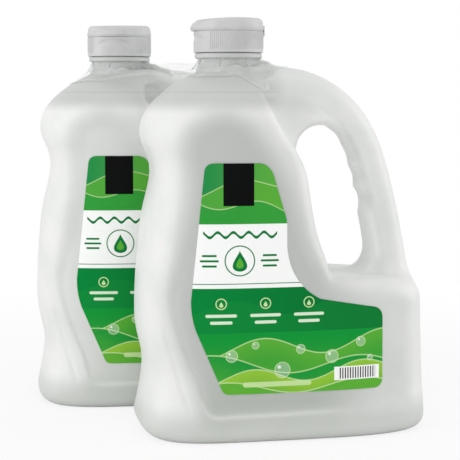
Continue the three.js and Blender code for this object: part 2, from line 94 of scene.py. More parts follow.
# Jug body
BODY_LEFT = jug_low[0] - NECK["front"][0]
BODY_RIGHT = jug_high[0] - NECK["front"][0]
HALF_DEPTH = (jug_high[1] - jug_low[1]) / 2
BODY_HEIGHT = 216  # up to the foot of the neck
WALL = 1
BODY_SQUARENESS = 3.2  # exponent of the rounded section, where 2 is an ellipse
FOOT_SQUARENESS = 3.8
BODY_CREST = 15  # from the neck axis to where the body is deepest
FOOT_RADIUS = 9
FRONT_FOOT_RADIUS = 6
HIP_HEIGHT = 40
WAIST_HEIGHT = 153
SHOULDER_HEIGHT = 187
SHOULDER_REACH = 56  # the dome of the shoulder, from the neck axis
DECK_HEIGHT = 94.5
DECK_EDGE = 15  # rounding of the deck's edges
COLUMN_EDGE = 20  # rounding of the column's right side
RIDGE_EDGE = 9  # rounding of the ridge from the column up to the neck
BASE_RECESS = 2.5
RIPPLE = 0.12  # unevenness of the blown wall

# Pressed panel round the label
PANEL_DEPTH = 1.4  # at its foot
ARCH_DEPTH = 3.4  # at its arched top
PANEL_EDGE = 1.3
LEDGE_WIDTH = 1.1  # the painted highlight along the panel's foot
LEDGE_SHINE = 0.27
ARCH_EDGE = 8
GROOVE_DEPTH = 0.9
GROOVE_WIDTH = 1.4
SHADE_FROM = -12  # painted shade on the pressed panel starts outside its edge
SHADE_TO = 8  # and is full inside it
PANEL_SHADE = {"front": 1.0, "rear": 0.35}  # strength of the painted shade on each jug's panel

# Handle
GRIP_HALF = 15  # half its thickness, front to back
WEB_HALF = 12
GRIP_WIDTH = 23
GRIP_ROUNDING = 13
GAP_ROUNDING = 4.5
HANDLE_LEFT = 5
HANDLE_FOOT = 60
CREASE = 17  # from the outside of the handle to the crease beside the finger waves
FINGERS = 4
FINGER_PITCH = 15.5
FINGER_MIDDLE = 0.535
FINGER_RADIUS = 13
FINGER_DEPTH = 2.4

# Neck
NECK_RADIUS = 17.6
BORE_RADIUS = 15.6
COLLAR_RADIUS = 18.2
NECK_FOOT_RADIUS = 19
BEAD_RADIUS = 20.2
BEAD_BOTTOM = 224.2
BEAD_TOP = 227.2
MOUTH_HEIGHT = 238
SOAP_LEVEL = 204

# Closure
SKIRT_RADIUS = 20.9
SKIRT_INSIDE = 18.2
CLOSURE_BOTTOM = closure_low[2]
CLOSURE_TOP = closure_high[2]
CLOSURE_DECK = 1.4
POUR_HOLE = 4.2
SCOOP_DEPTH = 0.5
SCOOP_HALF_ANGLE = math.radians(32)
LID_RADIUS = 21.3
LID_BOTTOM = CLOSURE_TOP + 0.3
LID_DOME = 0.32
LID_BACK = lid_top - LID_BOTTOM - LID_DOME
LID_FRONT = 6.2
LID_CEILING = 3.2
LID_GAP = 0.08  # seen between the lid and the skirt
LID_WALL = 1.5
LIP_REACH = 1.6
LIP_HALF_ANGLE = math.radians(24)
RIB_COUNT = 104
RIB_WIDTH = 0.8
RIB_SET_IN = 0.14  # from the skirt to the middle of a rib
RIB_FOOT = 2.2  # plain band below the ribs
SMOOTH_ZONE = math.radians(42)  # no ribs within this angle of the lip

# Hinge strap
HINGE_WIDTH = 12
HINGE_OUTSIDE = 21.75
HINGE_THICKNESS = 0.5
HINGE_BOTTOM = 237.4
HINGE_TOP = 243.6

# Labels
LABEL_LIFT = 0.12
LABEL_THICKNESS = 0.3
PRINT_UNIT = 100  # millimetres to one unit of the label's map
WHITE_TOP = 128.6
WHITE_BOTTOM = 91.5
DARK_BOTTOM = 65.5


# Curves and rounded joins

def spline(points, steps=6, closed=False):
    """A smooth line through points."""
    points = np.array(points, float)
    if closed:
        ends = [points[-1:], points, points[:2]]
    else:
        ends = [points[:1], points, points[-1:]]
    points = np.vstack(ends)
    share = np.linspace(0, 1, steps, endpoint=False)[:, None]
    parts = []
    for a, b, c, d in zip(points, points[1:], points[2:], points[3:]):
        bend = (2 * a - 5 * b + 4 * c - d) * share + (3 * b - a - 3 * c + d) * share**2
        parts.append(b + ((c - a) + bend) * share / 2)
    if closed:
        parts.append(parts[0][:1])
    else:
        parts.append(points[-1:])
    return np.vstack(parts)


def bezier(*points, steps=8):
    """A curve from the first point to the last, pulled by the points between."""
    share = np.linspace(0, 1, steps + 1)[:, None]
    level = [np.array(point, float) for point in points]
    while len(level) > 1:
        level = [a + (b - a) * share for a, b in zip(level, level[1:])]
    return level[0]


def arc(centre, radius, start, end, steps=8):
    angle = np.radians(np.linspace(start, end, steps + 1))
    return np.array(centre) + radius * np.stack([np.cos(angle), np.sin(angle)], 1)


def smoothstep(value, low, high):
    share = np.clip((value - low) / (high - low), 0, 1)
    return share * share * (3 - 2 * share)


def mixed(first, second, share):
    return first + (second - first) * share


def joined(first, second, rounding):
    """Both fields together, with a fillet where they meet."""
    near = np.maximum(rounding - np.abs(first - second), 0)
    return np.minimum(first, second) - near**2 / (4 * rounding)


def common(first, second, rounding):
    """What two fields share, with a rounded edge."""
    near = np.maximum(rounding - np.abs(first - second), 0)
    return np.maximum(first, second) + near**2 / (4 * rounding)


def line_distance(x, z, line):
    """Distance in the front view to a line of points, positive on the right of its direction."""
    best = np.full(np.broadcast(x, z).shape, np.inf)
    side = np.ones_like(best)
    for (ax, az), (bx, bz) in zip(line, line[1:]):
        dx, dz = bx - ax, bz - az
        share = np.clip(((x - ax) * dx + (z - az) * dz) / (dx * dx + dz * dz), 0, 1)
        ox, oz = x - ax - share * dx, z - az - share * dz
        square = ox * ox + oz * oz
        nearer = square < best
        best = np.where(nearer, square, best)
        side = np.where(nearer, np.sign(ox * dz - oz * dx), side)
    return side * np.sqrt(best)


def outline_distance(x, z, outline):
    """Distance in the front view to a closed outline, negative inside it."""
    inside = np.zeros(np.broadcast(x, z).shape, bool)
    for (ax, az), (bx, bz) in zip(outline, outline[1:]):
        if az != bz:
            crosses = ((az > z) != (bz > z)) & (x < ax + (z - az) * (bx - ax) / (bz - az))
            inside ^= crosses
    return np.where(inside, -1, 1) * np.abs(line_distance(x, z, outline))


def at_height(line, z):
    """Where a line that runs upwards stands at a height."""
    return np.interp(z, line[:, 1], line[:, 0])


# The jug's outlines in the front view, from the floor up

def dome(reach):
    """The shoulder from its widest point up to the foot of the neck."""
    return bezier((reach, SHOULDER_HEIGHT), (reach, 201.5), (39, 207), (NECK_FOOT_RADIUS, BODY_HEIGHT))


LEFT_EDGE = np.vstack([
    arc((BODY_LEFT + FOOT_RADIUS, FOOT_RADIUS), FOOT_RADIUS, 270, 180),
    spline([
        (BODY_LEFT, FOOT_RADIUS),
        (BODY_LEFT + 4.6, HIP_HEIGHT),
        (BODY_LEFT, 70),
        (BODY_LEFT + 3.2, 122),
        (BODY_LEFT + 10, 156),
        (BODY_LEFT + 4.2, 176),
        (BODY_LEFT + 3.6, 184),
        (BODY_LEFT + 5.6, 190.5),
        (-47, 196.8),
        (-39.5, 204),
        (-30, 210.8),
        (-NECK_FOOT_RADIUS, BODY_HEIGHT),
    ])[1:],
])
RIGHT_EDGE = np.vstack([
    arc((BODY_RIGHT - FOOT_RADIUS, FOOT_RADIUS), FOOT_RADIUS, -90, 0),
    [(BODY_RIGHT - 2, 80), (BODY_RIGHT - 3, 120), (70, WAIST_HEIGHT)],
    dome(SHOULDER_REACH),
])
FRONT_EDGE = np.vstack([
    arc((HALF_DEPTH - FRONT_FOOT_RADIUS, FRONT_FOOT_RADIUS), FRONT_FOOT_RADIUS, -90, 0),
    dome(HALF_DEPTH),
])
# The deck from the right, then up the right side of the column to the neck
DECK_AND_COLUMN = np.vstack([
    [(150, 90.5), (100, 92.6)],
    bezier((62.5, DECK_HEIGHT), (52.5, DECK_HEIGHT), (52, 103.5)),
    spline([
        (52, 103.5), (45.6, 124), (40.2, WAIST_HEIGHT), (31.5, 170.5), (23, 183), (15, 199), (14, 208),
    ])[1:],
    [(18, BODY_HEIGHT), (34, 235)],
])
PANEL = spline([
    (-21, 17.5), (-27, 35), (-33, 48.5), (-38.5, 65), (-42, 84), (-38, 105), (-33, 127), (-30.5, 150),
    (-31.5, 168), (-28, 181), (-13, 188.5), (2, 184), (12, 173), (23, 157), (30.5, 139), (36, 120),
    (42, 106), (54, 94), (72, 87), (94, 83), (100, 75), (101, 50), (100, 25), (94, 18.5), (37, 17),
    (0, 16.5),
], steps=4, closed=True)
GROOVE = spline([(-45.5, 75), (-44, 60), (-40.3, 48.5), (-37, 36), (-31.8, 18)])
HANDLE_EDGE = spline([
    (16.2, 219.2), (46, 217.3), (72, 204.5), (90.3, 182.2), (101.5, 151), (109.6, 116),
    (113, DECK_HEIGHT), (113, 77),
])


HANDLE_STEPS = np.diff(HANDLE_EDGE, axis=0)
HANDLE_LENGTHS = np.r_[0, np.cumsum(np.hypot(*HANDLE_STEPS.T))]  # along its outside, to each point
FINGER_GAP = np.vstack([
    [(22.5, WAIST_HEIGHT)],
    spline([
        (35, 161), (39.8, 170), (43, 176.5), (49, 182), (56.5, 184), (63.5, 181.6), (73.8, 167.5),
        (78.6, 147), (82.8, 129.6), (86, 112), (85.4, 104), (80.5, 97), (70, 91),
    ]),
    [(33.5, DECK_HEIGHT - 5), (22.5, WAIST_HEIGHT)],
])
HANDLE_LINE = np.vstack([HANDLE_EDGE, [(113, 40)]])


def opposite(share, width):
    """The point across the handle from a share of the length of its outside edge."""
    at = share * HANDLE_LENGTHS[-1]
    place = np.array([np.interp(at, HANDLE_LENGTHS, column) for column in HANDLE_EDGE.T])
    ahead = HANDLE_STEPS[np.searchsorted(HANDLE_LENGTHS, at) - 1]
    ahead = ahead / np.hypot(*ahead)
    return place + width * np.array([ahead[1], -ahead[0]])


class FrontMap:
    """A value drawn once over the front view on a fine grid, and read between the grid's points."""

    def __init__(self, draw):
        self.pitch = 0.5
        self.left = BODY_LEFT - 8
        self.bottom = -8
        across = np.arange(self.left, BODY_RIGHT + 8, self.pitch)
        up = np.arange(self.bottom, 245, self.pitch)
        self.values = draw(across[:, None], up)

    def __call__(self, x, z):
        columns, rows = self.values.shape
        x = np.clip((x - self.left) / self.pitch, 0, columns - 1.001)
        z = np.clip((z - self.bottom) / self.pitch, 0, rows - 1.001)
        i, k = x.astype(int), z.astype(int)
        low = mixed(self.values[i, k], self.values[i + 1, k], x - i)
        high = mixed(self.values[i, k + 1], self.values[i + 1, k + 1], x - i)
        return mixed(low, high, z - k)


def draw_gap(x, z):
    """The finger gap with its shallow finger waves."""
    gap = outline_distance(x, z, FINGER_GAP)
    pitch = FINGER_PITCH / HANDLE_LENGTHS[-1]
    for finger in range(FINGERS):
        share = FINGER_MIDDLE + (finger - (FINGERS - 1) / 2) * pitch
        cx, cz = opposite(share, GRIP_WIDTH - FINGER_DEPTH + FINGER_RADIUS)
        gap = joined(gap, np.hypot(x - cx, z - cz) - FINGER_RADIUS, 1.2)
    return gap


panel_map = FrontMap(lambda x, z: outline_distance(x, z, PANEL))
groove_map = FrontMap(lambda x, z: line_distance(x, z, GROOVE))
deck_map = FrontMap(lambda x, z: line_distance(x, z, DECK_AND_COLUMN))
handle_map = FrontMap(lambda x, z: line_distance(x, z, HANDLE_LINE))
gap_map = FrontMap(draw_gap)


# The jug as a field that is zero on its outside and negative within

def section_field(x, y, z):
    """The body without its cut for the handle: a rounded section at each height."""
    neckward = smoothstep(z, WAIST_HEIGHT, BODY_HEIGHT)
    footward = 1 - smoothstep(z, 0, HIP_HEIGHT)
    crest = mixed(BODY_CREST, 0, neckward)
    power = mixed(mixed(BODY_SQUARENESS, FOOT_SQUARENESS, footward), 2, neckward)
    half_width = np.where(x < crest, crest - at_height(LEFT_EDGE, z), at_height(RIGHT_EDGE, z) - crest)
    half_depth = at_height(FRONT_EDGE, z)
    u = np.abs(x - crest) / half_width
    v = np.abs(y) / half_depth
    reach = np.maximum((u**power + v**power) ** (1 / power), 0.05)
    slope = np.hypot(u ** (power - 1) / half_width, v ** (power - 1) / half_depth) / reach ** (power - 1)
    return (reach - 1) / np.maximum(slope, 0.002)


def pressed(x, y, z):
    """Depth of the label panel and of the groove beside it, on the front and the back."""
    panel = panel_map(x, z)
    high = smoothstep(z, 45, 150)
    edge = mixed(PANEL_EDGE + 5 * smoothstep(x, 40, 80), ARCH_EDGE, high)
    depth = mixed(PANEL_DEPTH, ARCH_DEPTH, high) * smoothstep(-panel, -edge, edge)
    groove = groove_map(x, z) / GROOVE_WIDTH
    taper = smoothstep(z, 14, 23) * (1 - smoothstep(z, 58, 75))
    depth = depth + GROOVE_DEPTH * taper * np.exp(-groove * groove)
    return depth * smoothstep(np.abs(y), 0.4 * HALF_DEPTH, 0.75 * HALF_DEPTH)


def body_field(x, y, z):
    edge = mixed(mixed(DECK_EDGE, COLUMN_EDGE, smoothstep(z, 95, 125)), RIDGE_EDGE, smoothstep(z, 140, 172))
    body = section_field(x, y, z) + pressed(x, y, z)
    body = common(body, deck_map(x, z), edge)
    base = BASE_RECESS * smoothstep(-body, 8, 16)
    return np.maximum(body, base - z)


def handle_field(x, y, z):
    """A round grip, and a thinner web between its bend and the column."""
    depth = handle_map(x, z)
    gap = gap_map(x, z)
    half = mixed(GRIP_HALF, WEB_HALF, smoothstep(depth, CREASE - 0.5, GRIP_WIDTH + 1.5))
    across = np.abs(y) / half
    outer = (np.hypot(np.maximum(1 - depth / GRIP_ROUNDING, 0), across) - 1) * GRIP_ROUNDING
    inner = (np.hypot(np.maximum(1 - gap / GAP_ROUNDING, 0), across) - 1) * WEB_HALF
    plate = common(outer, inner, 2)
    return np.maximum(plate, np.maximum(HANDLE_LEFT - x, HANDLE_FOOT - z))


def jug_field(x, y, z):
    neck = np.maximum(np.hypot(x, y) - COLLAR_RADIUS, z - BEAD_BOTTOM)
    neck = np.maximum(neck, SHOULDER_HEIGHT - z)
    body = np.maximum(body_field(x, y, z), z - BODY_HEIGHT - 1)
    fillet = mixed(9, 18, smoothstep(z, 120, 170))
    jug = joined(body, handle_field(x, y, z), fillet)
    ripple = np.sin(x / 11 + z / 17) * np.sin(z / 13 - y / 9 + 1) * np.sin(y / 14 + x / 19 + 2)
    return joined(jug, neck, 4) + RIPPLE * ripple


def soap_field(x, y, z):
    return np.maximum(jug_field(x, y, z) + WALL + 0.5, z - SOAP_LEVEL)


# Meshes

def slope_of(field, points):
    """The field's gradient at points."""
    step = 0.2
    columns = []
    for axis in np.eye(3) * step:
        columns.append((field(*(points + axis).T) - field(*(points - axis).T)) / (2 * step))
    return np.stack(columns, 1)


def settled(field, points, most):
    """Points moved onto the surface where the field is zero."""
    slope = slope_of(field, points)
    move = slope * (field(*points.T) / np.maximum((slope**2).sum(1), 1e-6))[:, None]
    length = np.linalg.norm(move, axis=1, keepdims=True)
    return points - move * np.minimum(1, most / np.maximum(length, 1e-9))


def evened(points, quads):
    """Each point moved halfway to the middle of its neighbours."""
    total = np.zeros_like(points)
    count = np.zeros(len(points))
    for side in range(4):
        here, ahead = quads[:, side], quads[:, (side + 1) % 4]
        for a, b in ((here, ahead), (ahead, here)):
            np.add.at(total, a, points[b])
            np.add.at(count, a, 1)
    return (points + total / count[:, None]) / 2


def skin(field, low, high, step):
    """A closed skin of quads where a field is zero, with one point in each grid cell that it crosses."""
    axes = [np.arange(a - 2 * step, b + 3 * step, step) for a, b in zip(low, high)]
    inside = field(*np.meshgrid(*axes, indexing="ij", sparse=True)) < 0
    corners = np.zeros([n - 1 for n in inside.shape], int)
    for i in (0, 1):
        for j in (0, 1):
            for k in (0, 1):
                corners += inside[i:i - 1 or None, j:j - 1 or None, k:k - 1 or None]
    crossed = (corners > 0) & (corners < 8)
    number = np.full(crossed.shape, -1)
    number[crossed] = np.arange(crossed.sum())
    places = np.argwhere(crossed)
    points = np.stack([axis[place] + step / 2 for axis, place in zip(axes, places.T)], 1)

    quads = []
    for axis in range(3):
        state = np.moveaxis(inside, axis, 0)
        cells = np.moveaxis(number, axis, 0)
        if axis == 1:  # keeps the two other axes in turning order
            state, cells = state.swapaxes(1, 2), cells.swapaxes(1, 2)
        i, j, k = np.nonzero(state[:-1, 1:-1, 1:-1] != state[1:, 1:-1, 1:-1])
        ring = np.stack([cells[i, j, k], cells[i, j + 1, k], cells[i, j + 1, k + 1], cells[i, j, k + 1]], 1)
        outward = state[i, j + 1, k + 1]
        quads.append(np.where(outward[:, None], ring, ring[:, ::-1]))
    quads = np.vstack(quads)

    for _ in range(3):
        points = settled(field, points, step)
    for _ in range(3):
        points = settled(field, evened(points, quads), step)
    return settled(field, points, step), quads


def turned(profile, sides, closed=False):
    """A profile of (radius, height) points turned round the neck axis, with its outside on the right."""
    points = []
    rings = []
    angle = 2 * np.pi * np.arange(sides) / sides
    for radius, height in profile:
        start = len(points)
        if radius == 0:
            points.append((0, 0, height))
            rings.append([start] * sides)
        else:
            points += [(radius * math.cos(a), radius * math.sin(a), height) for a in angle]
            rings.append(list(range(start, start + sides)))
    pairs = list(zip(rings, rings[1:] + rings[:1])) if closed else list(zip(rings, rings[1:]))
    faces = []
    for low, high in pairs:
        for k in range(sides):
            n = (k + 1) % sides
            face = [low[k], low[n], high[n], high[k]]
            faces.append(list(dict.fromkeys(face)))
    return np.array(points, float), faces


def rounded(profile, closed=False, steps=4):
    """Points (radius, height) or (radius, height, rounding), with the rounded corners drawn as curves."""
    line = []
    for i, point in enumerate(profile):
        here = np.array(point[:2], float)
        if len(point) == 2:
            line.append(here)
            continue
        before = np.array(profile[i - 1][:2], float) - here
        after = np.array(profile[(i + 1) % len(profile)][:2], float) - here
        start = here + before / np.hypot(*before) * point[2]
        end = here + after / np.hypot(*after) * point[2]
        line += list(bezier(start, here, end, steps=steps))
    return line


def in_place(points, name, turn=None):
    """Points of a jug, or of a piece turned about its neck, at their place in the pack, in metres."""
    turn = JUG_TURN[name] if turn is None else turn
    c, s = math.cos(turn), math.sin(turn)
    x, y, z = np.asarray(points, float).T
    place = NECK[name]
    return np.stack([c * x - s * y + place[0], s * x + c * y + place[1], z], 1) * MM


def points_of(mesh):
    points = np.zeros(len(mesh.vertices) * 3)
    mesh.vertices.foreach_get("co", points)
    return points.reshape(-1, 3)


def put_in_place(mesh, jug, turn=None):
    """Moves a mesh that is shaped about the neck axis to its jug's place in the pack."""
    mesh.vertices.foreach_set("co", in_place(points_of(mesh), jug, turn).ravel())
    mesh.update()


def shade(mesh, angle):
    """Shades a mesh smooth, with sharp edges past an angle in degrees."""
    mesh.shade_smooth()
    mesh.set_sharp_from_angle(angle=math.radians(angle))


def new_piece(name, points, faces, material, smooth_angle=35):
    """A mesh object of points and faces, shaded smooth up to an angle."""
    mesh = bpy.data.meshes.new(name)
    mesh.from_pydata(np.asarray(points).tolist(), [], [list(face) for face in faces])
    mesh.materials.append(material)
    shade(mesh, smooth_angle)
    piece = bpy.data.objects.new(name, mesh)
    bpy.context.scene.collection.objects.link(piece)
    return piece


def made_plain(piece):
    """Turns a piece with modifiers into a plain mesh."""
    depsgraph = bpy.context.evaluated_depsgraph_get()
    mesh = bpy.data.meshes.new_from_object(piece.evaluated_get(depsgraph))
    mesh.name = piece.name
    piece.modifiers.clear()
    piece.data = mesh
    return piece


def combined(piece, other, operation):
    """Joins another closed mesh to a piece or cuts it out, and removes the other."""
    modifier = piece.modifiers.new("combined", "BOOLEAN")
    modifier.operation = operation
    modifier.solver = "MANIFOLD"
    modifier.object = other
    made_plain(piece)
    bpy.data.objects.remove(other)
    return piece


def placed_copy(piece, name, jug):
    """A copy of a piece shaped about the neck axis, put where that jug stands."""
    mesh = piece.data.copy()
    put_in_place(mesh, jug)
    copy = bpy.data.objects.new(name, mesh)
    bpy.context.scene.collection.objects.link(copy)
    return copy


def add_to_pack(piece, body, slot, *nodes):
    """A piece rides on its body and stands for its nodes. Its slot is not used."""
    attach(piece, body)
    if nodes:
        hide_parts(*nodes)


# Node trees

class Wire:
    """An output socket whose arithmetic adds Math nodes to its tree."""

    def __init__(self, socket):
        self.socket = socket

    def math(self, operation, *values):
        node = self.socket.id_data.nodes.new("ShaderNodeMath")
        node.operation = operation
        for socket, value in zip(node.inputs, values):
            feed(socket, value)
        return Wire(node.outputs[0])

    def __add__(self, other):
        return self.math("ADD", self, other)

    def __sub__(self, other):
        return self.math("SUBTRACT", self, other)

    def __rsub__(self, other):
        return self.math("SUBTRACT", other, self)

    def __mul__(self, other):
        return self.math("MULTIPLY", self, other)

    def __truediv__(self, other):
        return self.math("DIVIDE", self, other)

    __radd__ = __add__
    __rmul__ = __mul__

    def most(self, other):
        return self.math("MAXIMUM", self, other)

    def size(self):
        return self.math("ABSOLUTE", self)

    def wave(self):
        return self.math("SINE", self)

    def fraction(self):
        return self.math("FRACT", self)

    def root(self):
        return self.math("SQRT", self)

    def cosine(self):
        return self.math("COSINE", self)


def feed(socket, value):
    """Links a wire, or each wire of a list, to a socket, or sets the socket's own value."""
    if isinstance(value, list):
        for wire in value:
            feed(socket, wire)
    elif isinstance(value, Wire):
        socket.id_data.links.new(value.socket, socket)
    else:
        socket.default_value = value


class Tree:
    """A node tree in the making."""

    def __init__(self, tree):
        self.tree = tree
        tree.nodes.clear()

    def node(self, kind, settings=None, sockets=None):
        """Adds a node with its settings and then its sockets, and gives a wire for each of its outputs."""
        node = self.tree.nodes.new(kind)
        for name, value in (settings or {}).items():
            setattr(node, name, value)
        for name, value in (sockets or {}).items():
            feed(node.inputs[name], value)
        return [Wire(output) for output in node.outputs]

    def ease(self, value, low, high):
        """0 below low, 1 above high and smooth between."""
        sockets = {"Value": value, "From Min": low, "From Max": high}
        return self.node("ShaderNodeMapRange", {"interpolation_type": "SMOOTHSTEP"}, sockets)[0]

    def blend(self, share, below, above):
        """One colour over another."""
        return self.node("ShaderNodeMix", {"data_type": "RGBA"}, {0: share, 6: below, 7: above})[2]

    def noise(self, vector, scale, detail=2.0):
        return self.node("ShaderNodeTexNoise", None, {"Vector": vector, "Scale": scale, "Detail": detail})[0]

    def bump(self, height, strength, distance):
        sockets = {"Height": height, "Strength": strength, "Distance": distance}
        return self.node("ShaderNodeBump", None, sockets)[0]

    def place_mark(self, name):
        """A place kept on the mesh."""
        return self.node("ShaderNodeAttribute", {"attribute_name": name})[1]

    def amount_mark(self, name):
        """An amount kept on the mesh."""
        return self.node("ShaderNodeAttribute", {"attribute_name": name})[2]

    def parts(self, vector):
        return self.node("ShaderNodeSeparateXYZ", None, {"Vector": vector})

    def object_place(self):
        return self.node("ShaderNodeTexCoord")[3]


class Finish(Tree):
    """A material whose surface is one Principled shader."""

    def __init__(self, name):
        self.material = bpy.data.materials.new(name)
        self.material.use_nodes = True
        super().__init__(self.material.node_tree)

    def surface(self, sockets):
        shader = self.node("ShaderNodeBsdfPrincipled", None, sockets)[0]
        self.node("ShaderNodeOutputMaterial", None, {"Surface": shader})
        return self.material


def srgb(red, green, blue):
    """A colour as it looks on screen, 0 to 255, for a shader."""
    channels = []
    for value in (red / 255, green / 255, blue / 255):
        channels.append(value / 12.92 if value <= 0.04045 else ((value + 0.055) / 1.055) ** 2.4)
    return (*channels, 1)


# Finishes

def jug_plastic():
    """Milky blown plastic of a cloudy tone, with painted shade on the pressed panel, at the foot and on the
    up-facing shoulders, a darker soap line, and painted highlights on the handle's inner bevel and along the
    panel's foot.
    """
    f = Finish("milky_jug_plastic")
    place = f.place_mark("jug_place")
    x, y, z = f.parts(place)
    flow = f.noise(place, 0.035)
    grain = f.noise(place, 0.5)
    # The plain tone of the plastic, cloudy at random.
    body_tone = f.blend(f.ease(flow, 0.35, 0.65), srgb(222, 224, 221), srgb(229, 230, 228))
    # Colour of the painted shade, darker towards the bottom.
    painted_shade = f.blend(f.ease(z, 20, 60), srgb(180, 184, 178), srgb(188, 190, 188))
    # Painted shade at the foot.
    colour = f.blend(f.ease(z, 24, 10) * 0.5, body_tone, painted_shade)
    # Painted shade on the pressed panel.
    colour = f.blend(f.amount_mark("panel"), colour, painted_shade)
    body_side = f.ease(x, 34, 18)
    # Painted shade on the up-facing shoulders of the body.
    colour = f.blend(f.ease(z, 190.5, 200) * body_side * 0.85, colour, painted_shade)
    soap_line = 1 - f.ease((z - SOAP_LEVEL).size(), 0.2, 0.7)
    colour = f.blend(soap_line * body_side * 0.5, colour, srgb(174, 178, 174))
    # Painted highlight on the handle's inner bevel and along the panel's foot.
    colour = f.blend(f.amount_mark("painted_highlight"), colour, srgb(246, 247, 245))
    line = 1 - f.ease(y.size(), 0.15, 0.6)
    height = grain * 0.05 + flow * 0.3 + line * 0.2
    return f.surface({
        "Base Color": colour,
        "Roughness": 0.38 + flow * 0.12,
        "Normal": f.bump(height, 0.5, MM),
        "IOR": 1.5,
    })


def soap_cream():
    f = Finish("pearly_soap")
    swirl = f.noise(f.object_place(), 18, 4)
    colour = f.blend(f.ease(swirl, 0.3, 0.7), srgb(226, 229, 224), srgb(240, 241, 236))
    return f.surface({"Base Color": colour, "Roughness": 0.3, "Coat Weight": 0.3})


def cap_plastic():
    """Moulded white plastic with a fine grain."""
    f = Finish("moulded_cap_plastic")
    place = f.object_place()
    cloud = f.noise(place, 90)
    grain = f.noise(place, 2600)
    colour = f.blend(f.ease(cloud, 0.35, 0.65), srgb(193, 193, 194), srgb(200, 200, 201))
    return f.surface({
        "Base Color": colour,
        "Roughness": 0.38 + cloud * 0.1,
        "Normal": f.bump(grain, 0.15, 0.1 * MM),
    })


def seal_foil():
    f = Finish("mouth_seal_foil")
    crinkle = f.noise(f.object_place(), 350, 3)
    return f.surface({
        "Base Color": f.blend(crinkle, srgb(190, 192, 196), srgb(222, 223, 226)),
        "Metallic": 1.0,
        "Roughness": 0.25 + crinkle * 0.2,
        "Normal": f.bump(crinkle, 0.4, 0.2 * MM),
    })


def clear_film():
    """Clear film, with painted highlights along its edges, and milkier where it is creased."""
    f = Finish("clear_film")
    crease = f.noise(f.object_place(), 55, 3)
    colour = f.blend(crease, srgb(206, 210, 208), srgb(236, 238, 237))
    return f.surface({
        "Base Color": colour,
        "Roughness": 0.12 + crease * 0.12,
        # Painted highlight: the film is whiter and less clear along its edges.
        "Alpha": 0.05 + f.amount_mark("edge") * 0.22 + f.ease(crease, 0.5, 0.75) * 0.1,
        "Normal": f.bump(crease, 0.5, 1.2 * MM),
    })


# Label print, on the label's own map: millimetres from the neck axis and from the floor

class Print(Finish):
    """A label finish, with simple printed shapes that cover what is below them."""

    def __init__(self, name):
        super().__init__(name)
        place = self.node("ShaderNodeUVMap", {"uv_map": "print"})[0]
        u, v, _ = self.parts(place)
        self.x = u * PRINT_UNIT
        self.z = v * PRINT_UNIT
        self.colour = None

    def ground(self, colour):
        self.colour = colour

    def lay(self, mask, colour):
        self.colour = self.blend(mask, self.colour, colour)

    def above(self, line, soft=0.12):
        return self.ease(self.z - line, -soft, soft)

    def between(self, low, high):
        return self.above(low) * (1 - self.above(high))

    def pill(self, x, z, half_length, radius, soft=0.12):
        """A strip with round ends."""
        along = ((self.x - x).size() - half_length).most(0)
        off = self.z - z
        return 1 - self.ease((along * along + off * off).root(), radius - soft, radius + soft)

    def ring(self, x, z, radius, width, soft=0.12):
        across, up = self.x - x, self.z - z
        off = ((across * across + up * up).root() - radius).size()
        return 1 - self.ease(off, width / 2 - soft, width / 2 + soft)

    def disc(self, x, z, radius, soft=0.12):
        return self.pill(x, z, 0, radius, soft)

    def drop(self, x, z, half_width, half_height, soft=0.15):
        """A drop with its point up."""
        share = (self.z - z) / half_height
        width = (1 - share) * (1 - share * share).most(0).root() * (0.77 * half_width)
        return self.ease(width - (self.x - x).size(), 0.02, 2 * soft)

    def box(self, left, right, bottom, top, soft=0.1):
        past_left = self.ease(self.x, left - soft, left + soft)
        past_right = self.ease(self.x, right - soft, right + soft)
        return past_left * (1 - past_right) * self.between(bottom, top)

    def swell(self, base, height, length, shift, lean=0.0):
        """Height of a wave line across the label."""
        return ((self.x + shift) * (2 * math.pi / length)).wave() * height + self.x * lean + base

    def printed(self):
        grain = self.noise(self.node("ShaderNodeUVMap", {"uv_map": "print"})[0], 180)
        return self.surface({
            "Base Color": self.colour,
            "Roughness": 0.34 + grain * 0.12,
            "Specular IOR Level": 0.05,
        })


